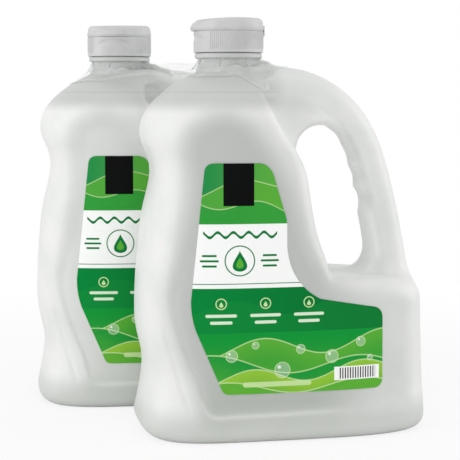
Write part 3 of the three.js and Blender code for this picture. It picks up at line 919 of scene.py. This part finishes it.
def front_print():
    """Green waves and bubbles above and below a white band with a drop, and a plain dark panel."""
    p = Print("front_label_print")
    deep = srgb(6, 122, 56)
    mid = srgb(28, 152, 60)
    fresh = srgb(92, 176, 58)
    lime = srgb(150, 200, 62)
    pale = srgb(206, 232, 170)
    white = srgb(252, 253, 252)

    # Wave fields from the bottom up
    p.ground(p.blend(p.ease(p.z, 26, 66), srgb(70, 168, 56), srgb(16, 150, 58)))
    waves = (
        (56, 5.5, 74, 8, 0.04, fresh),
        (47, 5.0, 88, 40, -0.03, mid),
        (39, 4.5, 66, 12, 0.05, lime),
        (33, 3.5, 80, 30, 0.0, fresh),
    )
    for base, height, length, shift, lean, colour in waves:
        line = p.swell(base, height, length, shift, lean)
        under = 1 - p.above(line)
        glow = p.ease(p.z - line, -16, 0)
        p.lay(under * (0.35 + glow * 0.6), colour)
        p.lay((1 - p.ease((p.z - line).size(), 0.15, 0.55)) * 0.75, pale)
    bubbles = (
        (-8, 52, 3.4), (6, 58, 2.0), (22, 43, 4.6), (33, 55, 2.6),
        (52, 50, 3.8), (70, 58, 2.8), (76, 48, 1.7),
    )
    for x, z, radius in bubbles:
        p.lay(p.disc(x, z, radius, 0.6) * 0.22, white)
        p.lay(p.ring(x, z, radius, 0.5) * 0.75, pale)
        p.lay(p.disc(x - radius * 0.4, z + radius * 0.4, radius * 0.22, 0.3) * 0.8, white)

    # Dark band with three ring marks
    p.lay(p.above(DARK_BOTTOM), p.blend(p.ease(p.x, -30, 85), srgb(2, 132, 58), srgb(8, 112, 50)))
    p.lay(p.between(DARK_BOTTOM, p.swell(80, 4, 60, 20)) * 0.25, mid)
    for x in (-14, 12, 38):
        p.lay(p.ring(x, 82.5, 3.0, 0.6), pale)
        p.lay(p.drop(x, 82.4, 1.3, 1.8), pale)
        p.lay(p.pill(x, 75.6, 8.2, 0.9), srgb(222, 238, 214))
        p.lay(p.pill(x, 71.6, 5.6, 0.9), srgb(222, 238, 214))

    # White band with a drop in a ring, rules and a wave
    p.lay(p.above(WHITE_BOTTOM), white)
    p.lay(p.between(93.8, 94.3), deep)
    wave = p.swell(122.4, 1.5, 9, 0)
    p.lay((1 - p.ease((p.z - wave).size(), 0.75, 1.0)) * p.box(-24, 19, 118, 127), deep)
    p.lay(p.ring(-3, 107.4, 8.6, 0.7), deep)
    p.lay(p.drop(-3, 107.6, 4.4, 6.4), deep)
    p.lay(p.drop(-3, 106.6, 2.4, 3.6), fresh)
    for side in (-1, 1):
        for height, reach in ((110.4, 5.6), (107.4, 6.8), (104.4, 5.6)):
            p.lay(p.pill(-3 + side * 17.6, height, reach - 2.0, 0.62), deep)

    # Green head with the plain dark panel
    p.lay(p.above(WHITE_TOP), p.blend(p.ease(p.x, -28, 22), srgb(34, 140, 72), srgb(92, 174, 66)))
    head_waves = ((150, 4, 62, 18, 0.12, fresh), (139, 3.5, 50, 4, -0.1, mid))
    for base, height, length, shift, lean, colour in head_waves:
        line = p.swell(base, height, length, shift, lean)
        p.lay(p.above(WHITE_TOP) * (1 - p.above(line)) * 0.7, colour)
        rim = 1 - p.ease((p.z - line).size(), 0.15, 0.5)
        p.lay(p.above(WHITE_TOP + 0.3) * rim * 0.6, pale)
    p.lay(p.box(-12.4, 5.5, 139, 170), srgb(6, 7, 8))

    # White block of plain bars, and a pale strip
    p.lay(p.box(53.5, 82, 35.5, 43.5), white)
    bars = p.ease((p.x / 1.6).fraction(), 0.5, 0.56)
    p.lay(p.box(56, 79.5, 36.2, 42.8) * bars, srgb(40, 42, 42))
    p.lay(p.pill(19, 35, 19, 1.5) * 0.85, pale)
    return p.printed()


def back_print():
    """A pale panel with plain strips over green waves."""
    p = Print("back_label_print")
    white = srgb(250, 251, 250)
    p.ground(p.blend(p.ease(p.z, 28, 160), srgb(24, 152, 60), srgb(80, 170, 66)))
    for base, height, length, shift in ((150, 4, 60, 10), (60, 5, 80, 30), (46, 4, 64, 0)):
        line = p.swell(base, height, length, shift)
        p.lay((1 - p.above(line)) * 0.4, srgb(6, 122, 56))
        p.lay((1 - p.ease((p.z - line).size(), 0.15, 0.5)) * 0.6, srgb(206, 232, 170))
    p.lay(p.between(84, 142), white)
    for row in range(9):
        p.lay(p.pill(-3, 136 - row * 5.6, 19 - 3 * (row % 3), 0.7), srgb(92, 120, 100))
    p.lay(p.box(20, 74, 38, 66), white)
    for row in range(4):
        p.lay(p.pill(47, 61.5 - row * 6, 22 - 4 * (row % 2), 0.7), srgb(92, 120, 100))
    return p.printed()


# Jugs and what fills them

def neck_finish():
    """The bead and the finish above it, as a plug that reaches down into the neck."""
    profile = rounded([
        (0, BEAD_BOTTOM - 3),
        (COLLAR_RADIUS - 0.02, BEAD_BOTTOM - 3),
        (COLLAR_RADIUS, BEAD_BOTTOM - 0.3),
        (BEAD_RADIUS, BEAD_BOTTOM, 0.8),
        (BEAD_RADIUS, BEAD_TOP, 0.9),
        (NECK_RADIUS, BEAD_TOP),
        (NECK_RADIUS, MOUTH_HEIGHT, 0.6),
        (BORE_RADIUS - 1, MOUTH_HEIGHT),
        (0, MOUTH_HEIGHT),
    ])
    return turned(profile, NECK_SIDES)


def bore():
    profile = [(0, SHOULDER_HEIGHT), (BORE_RADIUS, SHOULDER_HEIGHT), (BORE_RADIUS, 240), (0, 240)]
    return turned(profile, NECK_SIDES)


def reach():
    """Corners of the space that a jug fills below its bead."""
    return (BODY_LEFT, -HALF_DEPTH - 1, 0), (BODY_RIGHT, HALF_DEPTH + 1, BEAD_BOTTOM)


def mark_walls(mesh):
    """Keeps on a jug's mesh each point's place, how much painted shade its pressed panel takes, and how much
    painted highlight its handle bevel and the panel's foot take.
    """
    points = points_of(mesh)
    places = mesh.attributes.new("jug_place", "FLOAT_VECTOR", "POINT")
    places.data.foreach_set("vector", points.astype(np.float32).ravel())
    x, y, z = points.T
    panel = panel_map(x, z)
    face = smoothstep(np.abs(y), 0.45 * HALF_DEPTH, 0.7 * HALF_DEPTH)
    # Painted shade over the pressed panel, weaker towards the handle.
    painted_shade = smoothstep(-panel, SHADE_FROM, SHADE_TO) * face * (1 - 0.6 * smoothstep(x, 38, 85))
    # Painted highlight on the handle's inner bevel beside the crease.
    crease = smoothstep(handle_map(x, z), CREASE, CREASE + 4)
    crease = crease * smoothstep(x, 44, 60) * smoothstep(z, 96, 110)
    # Painted highlight along the panel's foot.
    ledge = np.exp(-((panel / LEDGE_WIDTH) ** 2)) * face
    ledge = ledge * (1 - smoothstep(z, 22, 30)) * (1 - smoothstep(x, 30, 75))
    for name, amount in (("panel", painted_shade), ("painted_highlight", crease + LEDGE_SHINE * ledge)):
        mark = mesh.attributes.new(name, "FLOAT", "POINT")
        mark.data.foreach_set("value", amount.astype(np.float32))


def jug_shell(material):
    """One jug about its neck axis: the outside with its neck, less the inside wall and the bore."""
    shell = new_piece("shell", *skin(jug_field, *reach(), SKIN_STEP), material)
    combined(shell, new_piece("neck", *neck_finish(), material), "UNION")
    inner_wall = skin(lambda x, y, z: jug_field(x, y, z) + WALL, *reach(), HIDDEN_STEP)
    inside = new_piece("inside", *inner_wall, material)
    combined(inside, new_piece("bore", *bore(), material), "UNION")
    combined(shell, inside, "DIFFERENCE")
    shade(shell.data, SHARP_ANGLE)
    mark_walls(shell.data)
    return shell


# Labels

LABEL_LEFT_EDGE = np.vstack([
    bezier((-9, 29.5), (-13, 29.5), (-14, 33)),
    bezier((-28, 66), (-31, 74), (-31, 84)),
    bezier((-23, 157.5), (-23, 163.5), (-17, 163.5)),
])
LABEL_RIGHT_EDGE = np.vstack([
    bezier((78.3, 29.5), (84.3, 29.5), (84.3, 35.5)),
    bezier((84.3, 71), (84.3, 77), (78.3, 78)),
    bezier((45, 84), (31, 91), (25, 104), (25, 117), steps=16),
    bezier((25, 128), (24.6, 132), (23.5, 135)),
    bezier((18, 153), (15.5, 163.5), (8, 163.5)),
])


def closed_sheet(grid, count):
    """Faces of a thin sheet: a grid of points, the same grid behind it, and the rim between."""
    ahead = np.stack([grid[:-1, :-1], grid[:-1, 1:], grid[1:, 1:], grid[1:, :-1]], -1).reshape(-1, 4)
    border = np.r_[grid[0], grid[1:, -1], grid[-1, -2::-1], grid[-2:0:-1, 0]]
    after = np.roll(border, -1)
    rim = np.stack([border, border + count, after + count, after], 1)
    return np.vstack([ahead, ahead[:, ::-1] + count, rim])


def face_of_jug(x, z):
    """How far the front and the back of the jug stand from its middle."""
    near, far = np.zeros_like(x), np.full_like(x, HALF_DEPTH + 4)
    for _ in range(24):
        middle = (near + far) / 2
        within = jug_field(x, middle, z) < 0
        near, far = np.where(within, middle, near), np.where(within, far, middle)
    return near


def label(name, side, jug, material):
    """A thin label on the front (side -1) or the back (side 1) of a jug."""
    columns = 56
    heights = np.unique(np.r_[LABEL_LEFT_EDGE[:, 1], LABEL_RIGHT_EDGE[:, 1], np.linspace(30, 163, 68)])
    share = np.linspace(0, 1, columns)
    left, right = at_height(LABEL_LEFT_EDGE, heights), at_height(LABEL_RIGHT_EDGE, heights)
    x = (left[:, None] + (right - left)[:, None] * share).ravel()
    z = np.repeat(heights, columns)
    depth = face_of_jug(x, z) + LABEL_LIFT
    count = len(x)
    front = np.stack([x, side * (depth + LABEL_THICKNESS), z], 1)
    back = np.stack([x, side * depth, z], 1)

    grid = np.arange(count).reshape(len(heights), columns)
    faces = closed_sheet(grid, count)
    if side > 0:
        faces = faces[:, ::-1]
    piece = new_piece(name, in_place(np.vstack([front, back]), jug), faces, material)
    layer = piece.data.uv_layers.new(name="print")
    corners = np.zeros(len(piece.data.loops), int)
    piece.data.loops.foreach_get("vertex_index", corners)
    flat = np.tile(np.stack([x, z], 1) / PRINT_UNIT, (2, 1))
    layer.uv.foreach_set("vector", flat[corners].astype(np.float32).ravel())
    return piece


# Closures

def scooped(points):
    """The smooth front of a skirt pressed in below the lip, as a rest for the thumb."""
    angle = np.arctan2(points[:, 1], points[:, 0])
    radius = np.hypot(points[:, 0], points[:, 1])
    outside = radius > SKIRT_RADIUS - 0.5
    height = points[:, 2]
    brow = CLOSURE_TOP - 1.6 - 2.6 * (angle / SCOOP_HALF_ANGLE) ** 2
    scoop = smoothstep(brow - height, -0.1, 0.5) * smoothstep(height, CLOSURE_TOP - 7, CLOSURE_TOP - 3.4)
    scoop = scoop * (1 - smoothstep(np.abs(angle), 0.75 * SCOOP_HALF_ANGLE, SCOOP_HALF_ANGLE))
    depth = SCOOP_DEPTH * scoop
    share = np.where(outside, (radius - depth) / np.maximum(radius, 1e-6), 1)
    return points * np.stack([share, share, np.ones_like(share)], 1)


def skirt_profile():
    """Closed profile of a closure: ribbed skirt, deck and a raised lip round the pour hole."""
    under = CLOSURE_TOP - CLOSURE_DECK
    wall = [(SKIRT_RADIUS, height) for height in np.linspace(CLOSURE_BOTTOM + 1, CLOSURE_TOP - 0.6, 26)]
    return rounded([
        (SKIRT_INSIDE, CLOSURE_BOTTOM, 0.3),
        (SKIRT_RADIUS, CLOSURE_BOTTOM, 0.5),
        *wall,
        (SKIRT_RADIUS, CLOSURE_TOP, 0.2),
        (POUR_HOLE + 2.2, CLOSURE_TOP, 0.4),
        (POUR_HOLE + 1.6, CLOSURE_TOP + 1.5, 0.5),
        (POUR_HOLE, CLOSURE_TOP + 1.5, 0.5),
        (POUR_HOLE, under, 0.3),
        (SKIRT_INSIDE, under, 0.5),
    ])


def rib_tree(material):
    """Geometry nodes that set upright ribs round a skirt, apart from its smooth front."""
    group = bpy.data.node_groups.new("skirt_ribs", "GeometryNodeTree")
    sizes = {
        "Radius": SKIRT_RADIUS - RIB_SET_IN,
        "Bottom": CLOSURE_BOTTOM + RIB_FOOT,
        "Top": CLOSURE_TOP - 0.3,
        "Width": RIB_WIDTH,
    }
    group.interface.new_socket("Geometry", in_out="INPUT", socket_type="NodeSocketGeometry")
    for name in sizes:
        group.interface.new_socket(name, in_out="INPUT", socket_type="NodeSocketFloat")
    group.interface.new_socket("Count", in_out="INPUT", socket_type="NodeSocketInt")
    group.interface.new_socket("Smooth Zone", in_out="INPUT", socket_type="NodeSocketFloat")
    group.interface.new_socket("Geometry", in_out="OUTPUT", socket_type="NodeSocketGeometry")
    t = Tree(group)
    skirt, radius, bottom, top, width, count, zone = t.node("NodeGroupInput")[:7]
    ring = t.node("GeometryNodeMeshCircle", None, {"Vertices": count, "Radius": radius})[0]
    x = t.parts(t.node("GeometryNodeInputPosition")[0])[0]
    facing = {0: x / radius, 1: zone.cosine()}
    smooth = t.node("FunctionNodeCompare", {"operation": "GREATER_THAN"}, facing)[0]
    spots = t.node("GeometryNodeDeleteGeometry", None, {"Geometry": ring, "Selection": smooth})[0]
    foot = t.node("ShaderNodeCombineXYZ", None, {"Z": bottom})[0]
    head = t.node("ShaderNodeCombineXYZ", None, {"Z": top})[0]
    line = t.node("GeometryNodeCurvePrimitiveLine", None, {"Start": foot, "End": head})[0]
    round_edge = t.node("GeometryNodeCurvePrimitiveCircle", None, {"Resolution": 8, "Radius": width / 2})[0]
    swept = {"Curve": line, "Profile Curve": round_edge, "Fill Caps": True}
    rib = t.node("GeometryNodeCurveToMesh", None, swept)[0]
    ribs = t.node("GeometryNodeInstanceOnPoints", None, {"Points": spots, "Instance": rib})[0]
    real = t.node("GeometryNodeRealizeInstances", None, {"Geometry": ribs})[0]
    both = t.node("GeometryNodeJoinGeometry", None, {0: [real, skirt]})[0]
    finished = t.node("GeometryNodeSetMaterial", None, {"Geometry": both, "Material": material})[0]
    t.node("NodeGroupOutput", None, {0: finished})
    sizes.update({"Count": RIB_COUNT, "Smooth Zone": SMOOTH_ZONE})
    return group, sizes


def cap(name, jug, material, ribs):
    """A closure's skirt and deck, with its lip to +X until it is put in place."""
    points, faces = turned(skirt_profile(), CAP_SIDES, closed=True)
    piece = new_piece(name, scooped(points), faces, material)
    group, sizes = ribs
    modifier = piece.modifiers.new("ribs", "NODES")
    modifier.node_group = group
    for item in group.interface.items_tree:
        if item.in_out == "INPUT" and item.name in sizes:
            modifier[item.identifier] = sizes[item.name]
    made_plain(piece)
    put_in_place(piece.data, jug, LIP_BEARING[jug])
    shade(piece.data, SHARP_ANGLE)
    return piece


def lid(name, jug, material):
    """A flip lid: a cup whose domed top falls to a round thumb lip, with a plug for the pour hole."""
    rim = LID_GAP - (LID_BOTTOM - CLOSURE_TOP)
    outside = rounded([
        *[(LID_RADIUS - 0.3 + 0.3 * math.sin(height), height) for height in np.linspace(0.2, 3.6, 12)],
        (LID_RADIUS - 0.7, LID_BACK, 3.4),
        *[(radius, LID_BACK + 0.02 * (16 - radius)) for radius in np.linspace(16, 1, 9)],
        (0, LID_BACK + LID_DOME),
    ], steps=8)
    profile = rounded([
        (0, LID_CEILING),
        (0.01, LID_CEILING),
        (POUR_HOLE - 1.6, LID_CEILING, 0.3),
        (POUR_HOLE - 1.2, -1.0, 0.2),
        (POUR_HOLE - 0.5, -1.0, 0.3),
        (POUR_HOLE - 0.3, LID_CEILING - 0.3),
        (LID_RADIUS - LID_WALL, LID_CEILING, 0.8),
        (LID_RADIUS - LID_WALL, rim, 0.2),
        (LID_RADIUS - 0.3, rim, 0.15),
        *outside,
    ], steps=8)
    points, faces = turned(profile, CAP_SIDES)
    x, y, z = points.T
    fall = np.clip((x / LID_RADIUS + 0.3) / 1.3, 0, 1) ** 2
    top = mixed(LID_BACK, LID_FRONT, fall) / LID_BACK
    first = len(z) - 1 - CAP_SIDES * (len(outside) - 1)  # where the points of the outside start
    z = np.where(np.arange(len(z)) < first, z, z * top)
    angle = np.arctan2(y, x)
    radius = np.hypot(x, y)
    lip = 1 - smoothstep(np.abs(angle), LIP_HALF_ANGLE * 0.5, LIP_HALF_ANGLE * 1.3)
    lip = lip * (radius > LID_RADIUS - 1)
    roundness = np.sqrt(np.clip(1 - ((z - 1.8) / 3.0) ** 2, 0, 1))
    bulge = 1 + LIP_REACH * lip * roundness / np.maximum(radius, 1)
    points = np.stack([x * bulge, y * bulge, z + LID_BOTTOM], 1)
    return new_piece(name, in_place(points, jug, LIP_BEARING[jug]), faces, material)


def hinge_strap(name, jug, material):
    """A thin strap at the back of a closure that the lid bends on."""
    columns = 9
    heights = np.linspace(HINGE_BOTTOM, HINGE_TOP, 19)
    angle = np.pi + np.linspace(-0.5, 0.5, columns) * HINGE_WIDTH / LID_RADIUS
    sheets = []
    for radius in (HINGE_OUTSIDE, HINGE_OUTSIDE - HINGE_THICKNESS):
        ring = np.stack([radius * np.cos(angle), radius * np.sin(angle)], 1)
        rows = [np.c_[ring, np.full(columns, height)] for height in heights]
        sheets.append(np.vstack(rows))
    count = columns * len(heights)
    grid = np.arange(count).reshape(len(heights), columns)
    faces = closed_sheet(grid, count)
    piece = new_piece(name, in_place(np.vstack(sheets), jug, LIP_BEARING[jug]), faces, material)
    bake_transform(piece)


# Clear film carrier, drawn from above in the pack's own millimetres

FILM_OUTLINE = spline([
    (-31, -53), (-27, -70), (-14, -78.5), (-4, -80.5), (2, -87), (9, -90.5), (13, -85), (15, -74), (23, -62),
    (31, -57), (30, -51), (20, -45), (13, -36), (2, -17), (-12, 8), (-24, 30), (-25, 52), (-33, 74),
    (-47, 85), (-63, 87), (-81, 77), (-91, 59), (-86, 40), (-72, 25), (-56, 2), (-43, -22),
], closed=True)
FILM_CONE = np.array([(18.6, 223.6), (19.5, 221.4), (21, 219), (24, 216), (27, 213), (34, 208), (46, 200)])
FILM_SPAN_HEIGHT = 222
FILM_GRID = 2.0
FILM_THICKNESS = 0.3
FILM_CLEARANCE = 0.8  # from the shoulders that it rests on
FILM_HOLE = 18.7
FILM_TABS = 8
NOTCH_REACH = 22.4


def notched_ring(jug):
    """The hole for a neck, with a pointed notch between each two tabs."""
    pitch = 2 * np.pi / FILM_TABS
    ring = []
    for tab in range(FILM_TABS):
        start = tab * pitch + 0.35
        ring.append((NOTCH_REACH, start))
        ring += [(FILM_HOLE, start + pitch * share) for share in np.linspace(0.09, 0.91, 9)]
    return np.array([NECK[jug] + radius * np.array([np.cos(a), np.sin(a)]) for radius, a in ring + ring[:1]])


def film_distance(points, rings):
    """Distance from the film's outline or its holes, negative on the film."""
    x, y = points.T
    away = outline_distance(x, y, FILM_OUTLINE)
    for ring in rings:
        away = np.maximum(away, -outline_distance(x, y, ring))
    return away


def top_of_jug(points, jug):
    """The height of a jug's top, seen from above."""
    c, s = math.cos(JUG_TURN[jug]), math.sin(JUG_TURN[jug])
    across, back = (points - NECK[jug]).T
    x, y = c * across + s * back, c * back - s * across
    heights = np.arange(180, BEAD_BOTTOM, 1.0)
    values = np.stack([jug_field(x, y, np.full_like(x, height)) for height in heights])
    last = (values < 0) * np.arange(len(heights))[:, None]
    low = np.minimum(last.max(0), len(heights) - 2)
    column = np.arange(len(x))
    below, above = values[low, column], values[low + 1, column]
    return heights[low] + np.clip(below / np.minimum(below - above, -1e-6), 0, 1)


def film_heights(points):
    """Up under the beads, straight across between the necks, and down onto the shoulders."""
    way = NECK["rear"] - NECK["front"]
    length = np.hypot(*way)
    x, y = (points - NECK["front"]).T
    along, across = (x * way[0] + y * way[1]) / length, (x * way[1] - y * way[0]) / length
    near = np.minimum(*[np.hypot(*(points - NECK[jug]).T) for jug in JUGS])
    free = smoothstep(near, 19.5, 28)
    between = free * smoothstep(along, 4, 26) * (1 - smoothstep(along, length - 26, length - 4))
    span = FILM_SPAN_HEIGHT - 8 * (across / 22) ** 2
    wave = np.sin(x / 4.6 + y / 7.3) * np.sin(y / 5.4 - x / 8.1 + 1) + 0.6 * np.sin(across / 2.6 + along / 9)
    height = mixed(np.interp(near, *FILM_CONE.T), span, between) + 0.6 * free * wave
    ground = np.maximum(*[top_of_jug(points, jug) for jug in JUGS]) + FILM_CLEARANCE
    return -joined(-height, -ground, 1.5)


def film(name, material):
    """One die-cut sheet of film over both necks, as a thin closed shell."""
    rings = [notched_ring(jug) for jug in JUGS]
    low, high = FILM_OUTLINE.min(0), FILM_OUTLINE.max(0)
    rows = np.meshgrid(np.arange(low[0], high[0], FILM_GRID), np.arange(low[1], high[1], FILM_GRID))
    spots = np.stack(rows, -1).reshape(-1, 2)
    spots = spots[film_distance(spots, rings) < -0.5 * FILM_GRID]
    edges = []
    points = []
    for loop in (FILM_OUTLINE[:-1], *[ring[:-1] for ring in rings]):
        first, count = len(points), len(loop)
        edges += [(first + i, first + (i + 1) % count) for i in range(count)]
        points += loop.tolist()
    points += spots.tolist()
    flat, _, triangles, *_ = delaunay_2d_cdt([Vector(point) for point in points], edges, [], 0, 1e-5)
    flat = np.array([tuple(point) for point in flat])
    triangles = np.array(triangles)
    triangles = triangles[film_distance(flat[triangles].mean(1), rings) < 0]
    a, b, c = (flat[triangles[:, side]] for side in range(3))
    turns_left = (b[:, 0] - a[:, 0]) * (c[:, 1] - a[:, 1]) > (b[:, 1] - a[:, 1]) * (c[:, 0] - a[:, 0])
    triangles = np.where(turns_left[:, None], triangles, triangles[:, ::-1])
    used, triangles = np.unique(triangles, return_inverse=True)
    flat, triangles = flat[used], triangles.reshape(-1, 3)

    middle = np.c_[flat, film_heights(flat)]
    a, b, c = (middle[triangles[:, side]] for side in range(3))
    facing = np.cross(b - a, c - a)
    normal = np.zeros_like(middle)
    for side in range(3):
        np.add.at(normal, triangles[:, side], facing)
    normal *= FILM_THICKNESS / 2 / np.linalg.norm(normal, axis=1, keepdims=True)
    count = len(middle)
    sides = {(t[i], t[(i + 1) % 3]) for t in triangles.tolist() for i in range(3)}
    rim = [(a, a + count, b + count, b) for a, b in sorted(sides) if (b, a) not in sides]
    faces = [*triangles.tolist(), *(triangles[:, ::-1] + count).tolist(), *rim]
    piece = new_piece(name, np.vstack([middle + normal, middle - normal]) * MM, faces, material, 60)
    # How much painted highlight each point near the film's edges takes.
    edge = 1 - smoothstep(-film_distance(flat, rings), 0.2, 2.0)
    mark = piece.data.attributes.new("edge", "FLOAT", "POINT")
    mark.data.foreach_set("value", np.tile(edge, 2).astype(np.float32))
    return piece


# Stage

def lit_floor():
    """A pale floor that the camera sees as white, with the pack's shadow left near it."""
    material = bpy.data.materials.new("pale_floor")
    material.use_nodes = True
    f = Tree(material.node_tree)
    camera = f.node("ShaderNodeLightPath")[0]
    place = f.object_place()
    pale = f.blend(f.noise(place, 3), (0.88, 0.88, 0.88, 1), (0.9, 0.9, 0.9, 1))
    x, y, _ = f.parts(place)
    far = f.ease((x * x + y * y).root(), 0.2, 0.6)
    matt = f.node("ShaderNodeBsdfDiffuse", None, {"Color": pale})[0]
    glow = f.node("ShaderNodeEmission", None, {"Color": (1, 1, 1, 1), "Strength": 1.0})[0]
    seen = f.node("ShaderNodeMixShader", None, {0: camera * (0.8 + far * 0.2), 1: matt, 2: glow})[0]
    f.node("ShaderNodeOutputMaterial", None, {"Surface": seen})
    half = 6
    corners = [(-half, -half, 0), (half, -half, 0), (half, half, 0), (-half, half, 0)]
    new_piece("floor", corners, [(0, 1, 2, 3)], material)


def studio_world(light):
    """White where the camera or a reflection sees it, and a softer level as light."""
    world = bpy.data.worlds.new("studio")
    bpy.context.scene.world = world
    world.use_nodes = True
    t = Tree(world.node_tree)
    path = t.node("ShaderNodeLightPath")
    named = {wire.socket.name: wire for wire in path}
    seen = named["Is Camera Ray"].most(named["Is Glossy Ray"]).most(named["Is Transmission Ray"])
    strength = seen * (1 - light) + light
    sky = t.node("ShaderNodeBackground", None, {"Color": (1, 1, 1, 1), "Strength": strength})[0]
    t.node("ShaderNodeOutputWorld", None, {"Surface": sky})


def soft_light(name, place, aim, size, power):
    lamp = bpy.data.lights.new(name, "AREA")
    lamp.size = size
    lamp.energy = power
    light = bpy.data.objects.new(name, lamp)
    light.location = place
    light.rotation_euler = (Vector(aim) - Vector(place)).to_track_quat("-Z", "Y").to_euler()
    bpy.context.scene.collection.objects.link(light)


def photo_camera():
    """The photograph's view: from the left, a little above the shoulders."""
    image_width = 460
    focal_pixels = 1400
    yaw, pitch = math.radians(11.5), math.radians(5.64)
    data = bpy.data.cameras.new("camera")
    data.sensor_width = 36
    data.lens = data.sensor_width * focal_pixels / image_width
    camera = bpy.data.objects.new("camera", data)
    camera.location = (-0.1732, -0.8847, 0.2043)
    look = Vector((math.sin(yaw) * math.cos(pitch), math.cos(yaw) * math.cos(pitch), -math.sin(pitch)))
    camera.rotation_euler = look.to_track_quat("-Z", "Y").to_euler()
    bpy.context.scene.collection.objects.link(camera)
    bpy.context.scene.camera = camera


def build_stage():
    photo_camera()
    lit_floor()
    studio_world(0.64)
    middle = (0, 0, 0.12)
    soft_light("left_softbox", (-1.6, -0.15, 0.5), middle, 1.4, 11)
    soft_light("right_softbox", (1.6, -0.15, 0.5), middle, 1.4, 9)
    soft_light("front_softbox", (-0.35, -2.0, 0.6), middle, 1.4, 6)
    soft_light("top_softbox", (0, -0.2, 1.6), middle, 1.2, 3)
    bpy.context.scene.view_settings.view_transform = "Standard"


# The pack

def build_pack():
    milky, cream, white, foil = jug_plastic(), soap_cream(), cap_plastic(), seal_foil()
    front_design, back_design = front_print(), back_print()
    shell = jug_shell(milky)
    fill = new_piece("fill", *skin(soap_field, *reach(), HIDDEN_STEP), cream)
    ribs = rib_tree(white)
    for jug in JUGS:
        shaped = placed_copy(shell, f"{jug}_shell", jug)
        # Each jug's panel takes its own strength of painted shade.
        for mark in shaped.data.attributes["panel"].data:
            mark.value *= PANEL_SHADE[jug]
        add_to_pack(shaped, "pack", "jug_plastic", f"{jug}_jug")
        add_to_pack(placed_copy(fill, f"{jug}_soap_fill", jug), "pack", "soap", f"{jug}_soap")
        printed = label(f"{jug}_label_front", -1, jug, front_design)
        add_to_pack(printed, "pack", "label_front", f"{jug}_front_label")
        printed = label(f"{jug}_label_back", 1, jug, back_design)
        add_to_pack(printed, "pack", "label_back", f"{jug}_back_label")
        frame["nodes"][f"{jug}_mouth_seal"].material_slots[0].material = foil
        skirt = cap(f"{jug}_cap", jug, white, ribs)
        add_to_pack(skirt, f"{jug}_closure", "closure_plastic", f"{jug}_closure")
        flip = lid(f"{jug}_flip_lid", jug, white)
        add_to_pack(flip, f"{jug}_lid", "closure_plastic", f"{jug}_lid")
        hinge_strap(f"{jug}_hinge_strap", jug, white)
    add_to_pack(film("neck_film", clear_film()), "pack", "carrier_film", "neck_carrier")
    for spare in (shell, fill):
        bpy.data.objects.remove(spare)


build_stage()
build_pack()
